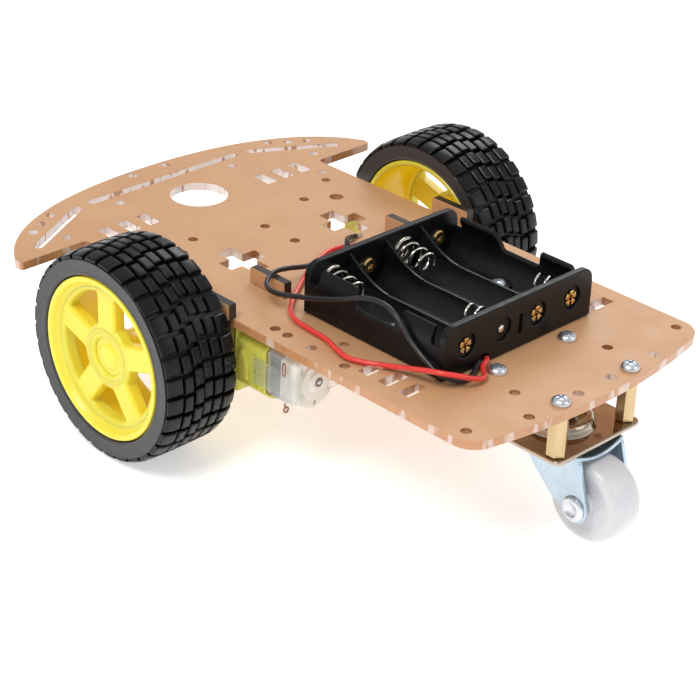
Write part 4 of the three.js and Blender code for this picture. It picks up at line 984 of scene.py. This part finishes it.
def lip_angle(x):
    """How far the lip curls over the cell at `x`: cut away in the middle and notched at its ends."""
    def ramp(edge, width=1.6):
        t = min(1, max(0, (x - edge) / width + 0.5))
        return t * t * (3 - 2 * t)

    rear_lip = ramp(REAR_X + WALL + LIP["start"], 0.8) * (1 - ramp(-73.8, 2.4))
    front_lip = ramp(-57, 3.4) * (1 - ramp(FRONT_X - WALL - LIP["start"], 0.8))
    middle = ramp(-75) * (1 - ramp(-55))
    return LIP["angle"] * (rear_lip + front_lip) + LIP["notch"] * (1 - rear_lip - front_lip) * (1 - middle)


def tray_section(x):
    """Half the tray's cross section, from the foot of the outer wall over the lip to the middle ridge."""
    angle = lip_angle(x) + 0.02
    y = BAYS[0]
    points = [(y + LIP["outer"] - 0.5, BOX_LOW.z), (y + LIP["outer"], BOX_LOW.z + 0.5)]
    points += arc(y, CELL_Z, LIP["outer"], 0, angle, 8)
    tip = (LIP["outer"] + LIP["inner"]) / 2
    points.append((y + tip * math.cos(angle + 0.04), CELL_Z + tip * math.sin(angle + 0.04)))
    points += arc(y, CELL_Z, LIP["inner"], angle, 0, 8)
    ridge = math.asin((CELL_Z - BOX_LOW.z - RIDGE) / CELL_RADIUS)
    points += arc(y, CELL_Z, CELL_RADIUS, 0, -math.pi + ridge, 22)
    points += arc(BAYS[1], CELL_Z, CELL_RADIUS, -ridge, -math.pi + ridge, 22)
    return points


def tray():
    low, high = REAR_X + WALL - 0.6, FRONT_X - WALL + 0.6
    steps = 110
    rows, points = [], []
    for i in range(steps + 1):
        x = low + (high - low) * i / steps
        half = tray_section(x)
        section = half + [(-y, z) for y, z in reversed(half)]
        rows.append(range(len(points), len(points) + len(section)))
        points += [(x, y, z) for y, z in section]
    faces = []
    for a, b in zip(rows, rows[1:]):
        faces += [(a[i - 1], a[i], b[i], b[i - 1]) for i in range(len(a))]
    return to_mesh(points, faces + [tuple(rows[0]), tuple(rows[-1])])


def wall_outline(notched):
    top, half = BOX_LOW.z + 16, BOX_HIGH.y
    corners = [(-half, BOX_LOW.z)]
    if notched:
        corners += [(12.8, BOX_LOW.z), (12.8, BOX_LOW.z + 2.9), (18.2, BOX_LOW.z + 2.9), (18.2, BOX_LOW.z)]
    corners += [(half, BOX_LOW.z), (half, top), (-half, top)]
    radii = [0.4] + [0.3, 1.2, 1.2, 0.3] * notched + [0.4, 5, 5]
    return filleted(corners, radii, 8)


def end_wall(outer_x, way, notched):
    """An end wall in two layers: the outer one is pierced by the round rivet recesses."""
    outline = wall_outline(notched)
    recesses = [circle(y, CONTACT_Z, 3.7, 40) for y in BAYS]
    if notched:
        recesses.append(filleted(rectangle(-1.0, 0.6, BOX_LOW.z + 4.4, BOX_LOW.z + 10.6), 0.4, 3))
    rivets = [circle(y, CONTACT_Z, 1.4) for y in BAYS]
    skin_x, inner_x = outer_x + way * SKIN, outer_x + way * WALL
    outer = board("X", outline, *sorted((outer_x, skin_x + way * 0.02)), recesses, *(0.35, 0)[::way], steps=3)
    inner = board("X", outline, *sorted((skin_x, inner_x)), rivets, *(0, 0.3)[::way], steps=3)
    return joined(outer, inner)


def front_webs():
    """Thin sloping webs that run from the front wall down to each ridge."""
    ridge, inner, reach = BOX_LOW.z + RIDGE, FRONT_X - WALL, 16
    slope = [(inner + 0.3, ridge - 1.5), (inner + 0.3, BOX_LOW.z + 14.5)]
    slope += [(inner - reach * t, ridge + 0.2 + (14.3 - RIDGE) * (1 - t) ** 1.7)
              for t in (k / 10 for k in range(11))]
    slope.append((inner - reach, ridge - 1.5))
    return [board("Y", slope, y - 0.45, y + 0.45, round_low=0.12) for y in (PITCH, 0, -PITCH)]


def make_box():
    body = joined(tray(), end_wall(REAR_X, 1, True), end_wall(FRONT_X, -1, False), *front_webs())
    collar = raised([(3.2, 1), (4.1, 1), (4.1, 2.3), (3.9, 2.5), (3.4, 2.5), (3.2, 2.3)], BOX_LOW.z)
    collars = [turned("Z", (BOX_SCREW[0], side * BOX_SCREW[1]), collar, 32, closed=True) for side in (1, -1)]
    place("battery_tray", joined(body, *collars), ("black",), "box_plastic", "battery_box")


# ---------------------------------------------------------------- battery contacts

SPRING = {"base": 4.3, "tip": 2.8, "wire": 0.38, "turns": 3.6, "length": 10}


def spring(wall_x, way, y):
    steps = int(SPRING["turns"] * 24)
    base = wall_x + way * 0.7
    points = []
    for i in range(steps + 1):
        t = i / steps
        radius = SPRING["base"] + (SPRING["tip"] - SPRING["base"]) * t
        angle = TURN * SPRING["turns"] * t
        rise = min(1, max(0, (t * SPRING["turns"] - 0.6) / (SPRING["turns"] - 0.9)))
        points.append((base + way * rise * SPRING["length"], y + radius * math.cos(angle),
                       CONTACT_Z + radius * math.sin(angle)))
    return wire(points, SPRING["wire"], 12)


def on_rivet(profile, y, base, way, sides, closed=False):
    """A profile turned about a contact's axis, its heights measured from `base` into the box."""
    return turned("X", (y, CONTACT_Z), raised(profile, base, way), sides, closed=closed)


def rivet(end, y, split=True):
    """A tubular rivet: a rolled head inside, and in the outer recess a flared star of petals or a stud."""
    wall_x, outer_x, way = end
    rolled = [(0.8, 0), (2.5, 0), (2.5, 0.5), (2.1, 1), (1.5, 1.15), (1, 1), (0.8, 0.4)]
    head = on_rivet(rolled, y, wall_x, way, 28, closed=True)
    tube = [(0.85, outer_x), (1.15, outer_x), (1.15, wall_x), (0.85, wall_x)]
    shank = turned("X", (y, CONTACT_Z), tube, 20, closed=True)
    if not split:
        stud = [(0, 0), (1.1, 0), (1.1, -0.3), (0.7, -0.5), (0, -0.55)]
        return joined(head, shank, on_rivet(stud, y, outer_x, way, 20))
    petals = []
    count, spread = 5, 0.42
    for k in range(count):
        middle = TURN * (k + 0.3) / count
        outline = arc(y, CONTACT_Z, 2.35, middle - spread, middle + spread, 5)
        outline += arc(y, CONTACT_Z, 0.9, middle + spread * 1.1, middle - spread * 1.1, 3)
        low = outer_x - way * 0.5 - way * 0.12 * (k % 2)
        petals.append(board("X", filleted(outline, 0.12, 2), *sorted((low, low + way * 0.4)), round_low=0.12))
    return joined(head, shank, *petals)


def strip(end, y0, y1):
    wall_x, _, way = end
    outline = filleted(rectangle(min(y0, y1) - 3, max(y0, y1) + 3, CONTACT_Z - 1.6, CONTACT_Z + 1.6), 1.2)
    return board("X", outline, *sorted((wall_x + way * 0.05, wall_x + way * 0.45)), round_low=0.1)


def spring_contact(end, y, split=False):
    wall_x, _, way = end
    washer = on_rivet([(0, 0), (4.8, 0), (4.8, 0.5), (4.5, 0.7), (0, 0.7)], y, wall_x, way, 32)
    return joined(washer, spring(wall_x, way, y), painted(rivet(end, y, split), int(split)))


def make_contacts():
    # each end: the wall's inner face, the bottom of the recesses outside and the way into the box
    front = (FRONT_X - WALL, FRONT_X - SKIN, -1)
    rear = (REAR_X + WALL, REAR_X + SKIN, 1)
    for where, end, spring_y, rivet_y in (("front_left", front, BAYS[0], BAYS[1]),
                                          ("front_right", front, BAYS[2], BAYS[3]),
                                          ("rear_middle", rear, BAYS[1], BAYS[2])):
        mesh = joined(spring_contact(end, spring_y), painted(rivet(end, rivet_y), 1),
                      strip(end, spring_y, rivet_y))
        place(f"{where}_contact", mesh, ("nickel", "brass"), "contact_nickel", f"contact_{where}")
    place("rear_positive_contact", rivet(rear, BAYS[0]), ("brass",), "contact_brass", "contact_rear_positive")
    place("rear_negative_contact", spring_contact(rear, BAYS[3], True), ("nickel", "brass"), "contact_nickel",
          "contact_rear_negative")


# ---------------------------------------------------------------- caster

PLATE_LOW, RACE_HIGH = (corner.z for corner in span("caster_plate"))
PLATE_TOP = PLATE_LOW + 1.3
STANDOFF = {"across_flats": 5.2, "bore": 1.5}


def caster_plate():
    half_x, half_y = 15.5, 18.5
    outline = filleted(rectangle(CASTER.x - half_x, CASTER.x + half_x, -half_y, half_y), 3, 6)
    holes = [circle(x, y, 1.65) for x, y in CASTER_HOLES] + [circle(CASTER.x, 0, 9.6, 64)]
    sheet = board("Z", outline, PLATE_LOW, PLATE_TOP, holes, round_low=0.3, round_high=0.5, steps=3)
    race = [(9.5, PLATE_LOW), (10.9, PLATE_LOW), *raised([(10.9, -0.1), (10.3, 0.5), (10, 1.4)], PLATE_TOP)]
    race += raised([(9.5, -0.4), (8.7, 0), (7.6, -0.1), (6.6, -0.6), (5.2, -1), (3.8, -1), (3.6, -1.3),
                    (3.8, -1.7), (5, -1.8), (6.6, -1.5), (7.8, -0.9), (8.6, -0.9), (9.2, -1.4)], RACE_HIGH)
    return joined(sheet, turned("Z", (CASTER.x, 0), race + [(9.4, PLATE_TOP)], 72, closed=True))


def balls():
    """The bearing balls that run between the plate's race and the fork's crown."""
    count, middle = 14, (PLATE_TOP + RACE_HIGH) / 2 - 1.2
    bm = bmesh.new()
    for x, y in circle(CASTER.x, 0, 7.4, count):
        bmesh.ops.create_uvsphere(bm, u_segments=16, v_segments=10, radius=1.25,
                                  matrix=Matrix.Translation((x, y, middle)))
    mesh = bpy.data.meshes.new("balls")
    bm.to_mesh(mesh)
    bm.free()
    return mesh


LEG = {"inner": 8.6, "thick": 1.3, "crown_low": 27.6, "crown_high": 28.9, "crease_x": -119.6, "flare": 1.8}


def fork_leg():
    """One pressed leg, drawn in the (x, z) plane and bent outward in front of its crease."""
    axle_x, axle_z = CASTER_AXLE.x, CASTER_AXLE.z
    outline = [(-125.6, 27.9), (-126.2, 26.6)]
    outline += arc(axle_x, axle_z, 4.7, math.pi, TURN - 0.55, 12)
    outline += [(-117, 13.6), (-110.6, 21.2), (-104.4, 27), (-102.6, 27.9)]
    outline = filleted(outline, [0.6, 0.8] + [0] * 13 + [1.2, 3, 1, 0.5], 4)
    leg = board("Y", outline, LEG["inner"], LEG["inner"] + LEG["thick"], [circle(axle_x, axle_z, 1.9)],
                round_low=0.25, steps=3)
    bm = bmesh.new()
    bm.from_mesh(leg)
    for offset in (0, 0.5, -0.5):
        sliced(bm, (LEG["crease_x"] + offset, 0, 0), (1, 0, 0))
    for vertex in bm.verts:
        ahead = max(0.0, vertex.co.x - LEG["crease_x"])
        vertex.co.y += LEG["flare"] * min(1, ahead / 12) * min(1.0, (29 - vertex.co.z) / 6)
    bm.to_mesh(leg)
    bm.free()
    return leg


def fork_crown():
    """The plate over the wheel, sagging behind the kingpin."""
    outer, rim_x = LEG["inner"] + LEG["thick"], -126.0
    bow = arc(CASTER.x, 0, 10.6, math.pi / 2, -math.pi / 2, 24)
    outline = filleted([(rim_x, -outer), (rim_x, outer), *bow], [1.2, 1.2] + [0] * len(bow), 4)
    crown = board("Z", outline, LEG["crown_low"], LEG["crown_high"], round_low=0.5, steps=3)
    bm = bmesh.new()
    bm.from_mesh(crown)
    bmesh.ops.triangulate(bm, faces=bm.faces[:])
    for k in range(1, 12):
        sliced(bm, (rim_x + k * 1.2, 0, 0), (1, 0, 0))
        sliced(bm, (0, -outer + k * 1.65, 0), (0, 1, 0))
    for vertex in bm.verts:
        across = max(0.0, 1 - (vertex.co.y / (outer - 1)) ** 2)
        behind = min(1.0, max(0.0, (CASTER.x - 9.5 - vertex.co.x) / 5))
        vertex.co.z -= 1.9 * across * behind
    bm.to_mesh(crown)
    bm.free()
    return crown


def fork():
    head = [(2.4, -0.1), (4.4, 0), (4.8, 0.4), (4.5, 1.1), (3.2, 1.6), (1.6, 1.9), (0, 1.95)]
    stem = turned("Z", (CASTER.x, 0), [(0, 28.4), (2.4, 28.4), *raised(head, RACE_HIGH)], 40)
    leg = fork_leg()
    return joined(leg, mirrored(leg.copy()), fork_crown(), stem)


def on_axle(half_profile, sides, closed=False):
    """Half a profile, and its mirror image, turned about the caster's axle."""
    profile = half_profile + [(radius, -width) for radius, width in reversed(half_profile)]
    return turned("Y", (CASTER_AXLE.x, CASTER_AXLE.z), profile, sides, closed=closed)


def caster_wheel():
    radius, half = CASTER_AXLE.z, 6.15
    hub = raised([(2.1, 1.1), (3.8, 1.1), (4.1, 0.8), (4.2, -0.2), (7.6, -0.5), (8.6, -0.1)], half)
    edge = [(2.2, 0), (1.2, 0.35), (0.4, 1.3), (0.08, 2.6), (0, 4)]
    return on_axle(hub + [(radius - inward, half - depth) for inward, depth in edge], 96, closed=True)


def axle_rivet():
    end = [(0, 0.35), (1, 0.4), (1.9, 0.95), (2.4, 1.25), (3.1, 1.2), (3.7, 0.8), (3.9, 0.3), (3.8, 0),
           (1.7, 0)]
    return on_axle(raised(end, LEG["inner"] + LEG["thick"] + 0.05), 48)


def make_caster():
    place("top_plate", caster_plate(), ("plate",), "caster_nickel", "caster_plate", angle=45)
    place("bearing_balls", balls(), ("nickel",), "caster_nickel", "caster_bearing")
    place("swivel_fork", fork(), ("fork",), "fork_zinc", "caster_fork", body="caster_swivel")
    place("axle_rivet", axle_rivet(), ("zinc",), "screw_zinc", "caster_axle", body="caster_swivel")
    place("nylon_wheel", caster_wheel(), ("wheel_nylon",), "caster_nylon", "caster_wheel",
          body="caster_roller", angle=50)
    for side_name, side in SIDES:
        for end, way in (("front", 1), ("rear", -1)):
            x, y = CASTER.x + way * CASTER_HOLE["x"], CASTER_HOLE["y"]
            mesh = board("Z", circle(x, y, STANDOFF["across_flats"] / math.sqrt(3), 6), PLATE_TOP + 0.05,
                         DECK_LOW - 0.05, [circle(x, y, STANDOFF["bore"], 20)], round_low=0.35, steps=1)
            place(f"hex_standoff_{end}_{side_name}", mesh, ("standoff",), "standoff_brass",
                  f"standoff_{end}_{side_name}", side=side)


# ---------------------------------------------------------------- battery leads

LEAD_RADIUS = 0.8
RED_ROUTE = [
    (-92.9, 13.9, 48.7), (-93.8, 14.9, 48.6), (-94.5, 16.9, 48.4), (-96.3, 19, 48.2), (-98.6, 21, 48.1),
    (-99.9, 23.8, 48.7), (-99.4, 27.2, 49.8), (-97.6, 31, 51.2), (-94.6, 34.2, 51.9), (-90.2, 35.4, 51.3),
    (-83, 36.2, 49.4), (-76, 38.4, 48.2), (-70.5, 41, 47.9), (-66, 42.4, 47.9), (-61.4, 41.6, 47.9),
    (-54, 39.4, 47.9), (-46, 38.8, 47.9), (-40, 38, 47.9), (-34.6, 35.2, 47.9), (-29.4, 29.4, 47.9),
    (-25.4, 23.8, 47.9), (-21.8, 18.4, 47.9), (-17.6, 11.6, 47.9), (-14.2, 4.4, 47.9), (-12.4, -1.6, 47.9),
    (-12.9, -7, 47.9), (-15.6, -11, 47.9), (-19.4, -13.4, 47.9),
]
BLACK_ROUTE = [
    (-92.9, 17, 48.7), (-93.5, 18.4, 48.4), (-94.4, 20.2, 48.1), (-95.6, 22.4, 47.9), (-96.5, 25, 47.9),
    (-96.3, 28.2, 48.1), (-94.8, 31.2, 49), (-92, 33, 50.2), (-88.6, 33, 51.8), (-85.2, 32.8, 53.3),
    (-80.8, 32.7, 56), (-77.6, 32.6, 58.8), (-74.6, 32.4, 61), (-70, 31.9, 62.4), (-63, 32, 61.9),
    (-53.8, 33.2, 58.5), (-44, 34, 55.2), (-37.6, 34.6, 53.5), (-32.6, 36, 52.7), (-28.2, 36.8, 52.4),
    (-24.2, 35.4, 52.5), (-21.6, 32.4, 52.9), (-20.2, 28.4, 53.2), (-19.6, 22.4, 52.2), (-19.4, 16.4, 50.7),
    (-18.8, 9.6, 49.4), (-17.6, 3.6, 48.2), (-16.9, -1.6, 48), (-15.6, -5.6, 48.7), (-12.9, -8.8, 49.9),
    (-10.6, -12, 48.7), (-9.8, -15.6, 47.9),
]


def smooth_route(route, steps=5):
    """A centripetal Catmull-Rom line through the route's points."""
    points = [Vector(p) for p in route]
    points = [2 * points[0] - points[1], *points, 2 * points[-1] - points[-2]]
    line = []
    for a, b, c, d in zip(points, points[1:], points[2:], points[3:]):
        t0, t1 = 0, (b - a).length ** 0.5
        t2 = t1 + (c - b).length ** 0.5
        t3 = t2 + (d - c).length ** 0.5
        for t in (t1 + (t2 - t1) * k / steps for k in range(steps)):
            ab = a.lerp(b, (t - t0) / (t1 - t0))
            bc = b.lerp(c, (t - t1) / (t2 - t1))
            cd = c.lerp(d, (t - t2) / (t3 - t2))
            before, after = ab.lerp(bc, (t - t0) / (t2 - t0)), bc.lerp(cd, (t - t1) / (t3 - t1))
            line.append(before.lerp(after, (t - t1) / (t2 - t1)))
    return line + [points[-2]]


STRANDS = {"count": 5, "steps": 12, "step": 0.32, "radius": 0.16}


def tinned_end(name, line):
    """A few twisted tinned strands that stick out of the end of a lead."""
    tip, way, up = line[-1], (line[-1] - line[-3]).normalized(), Vector((0, 0, 1))
    across = way.cross(up).normalized()
    strands = []
    for k in range(STRANDS["count"]):
        points = []
        for i in range(STRANDS["steps"] + 1):
            angle = TURN * (k / STRANDS["count"] + i / 16)
            spread = 0.34 + 0.1 * (i / STRANDS["steps"]) ** 2
            middle = tip + way * (i * STRANDS["step"] - 0.4)
            points.append(middle + across * spread * math.cos(angle) + up * (spread * math.sin(angle)))
        strands.append(wire(points, STRANDS["radius"], 6))
    return place(name, joined(*strands), ("tinned",), "screw_zinc")


def lead(name, node, route, finish):
    def in_frame(point):
        return (Vector(point) + Vector((AXLE_X, 0, 0))) * MM

    line = smooth_route(route)
    data = line_curve(name, [in_frame(point) for point in line], LEAD_RADIUS * MM, 4)
    data.splines[0].use_smooth = True
    data.materials.append(FINISH[finish])
    piece = added(name, data)
    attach(piece, "chassis")
    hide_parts(node)
    tip = tinned_end(f"{name}_strands", line)


def make_leads():
    lead("red_lead", "lead_red", RED_ROUTE, "red")
    lead("black_lead", "lead_black", BLACK_ROUTE, "lead_black")


# ---------------------------------------------------------------- the scene

make_camera()
make_studio()
make_leads()
make_deck()
make_brackets()
make_screws()
make_wheels()
make_motors()
make_box()
make_contacts()
make_caster()
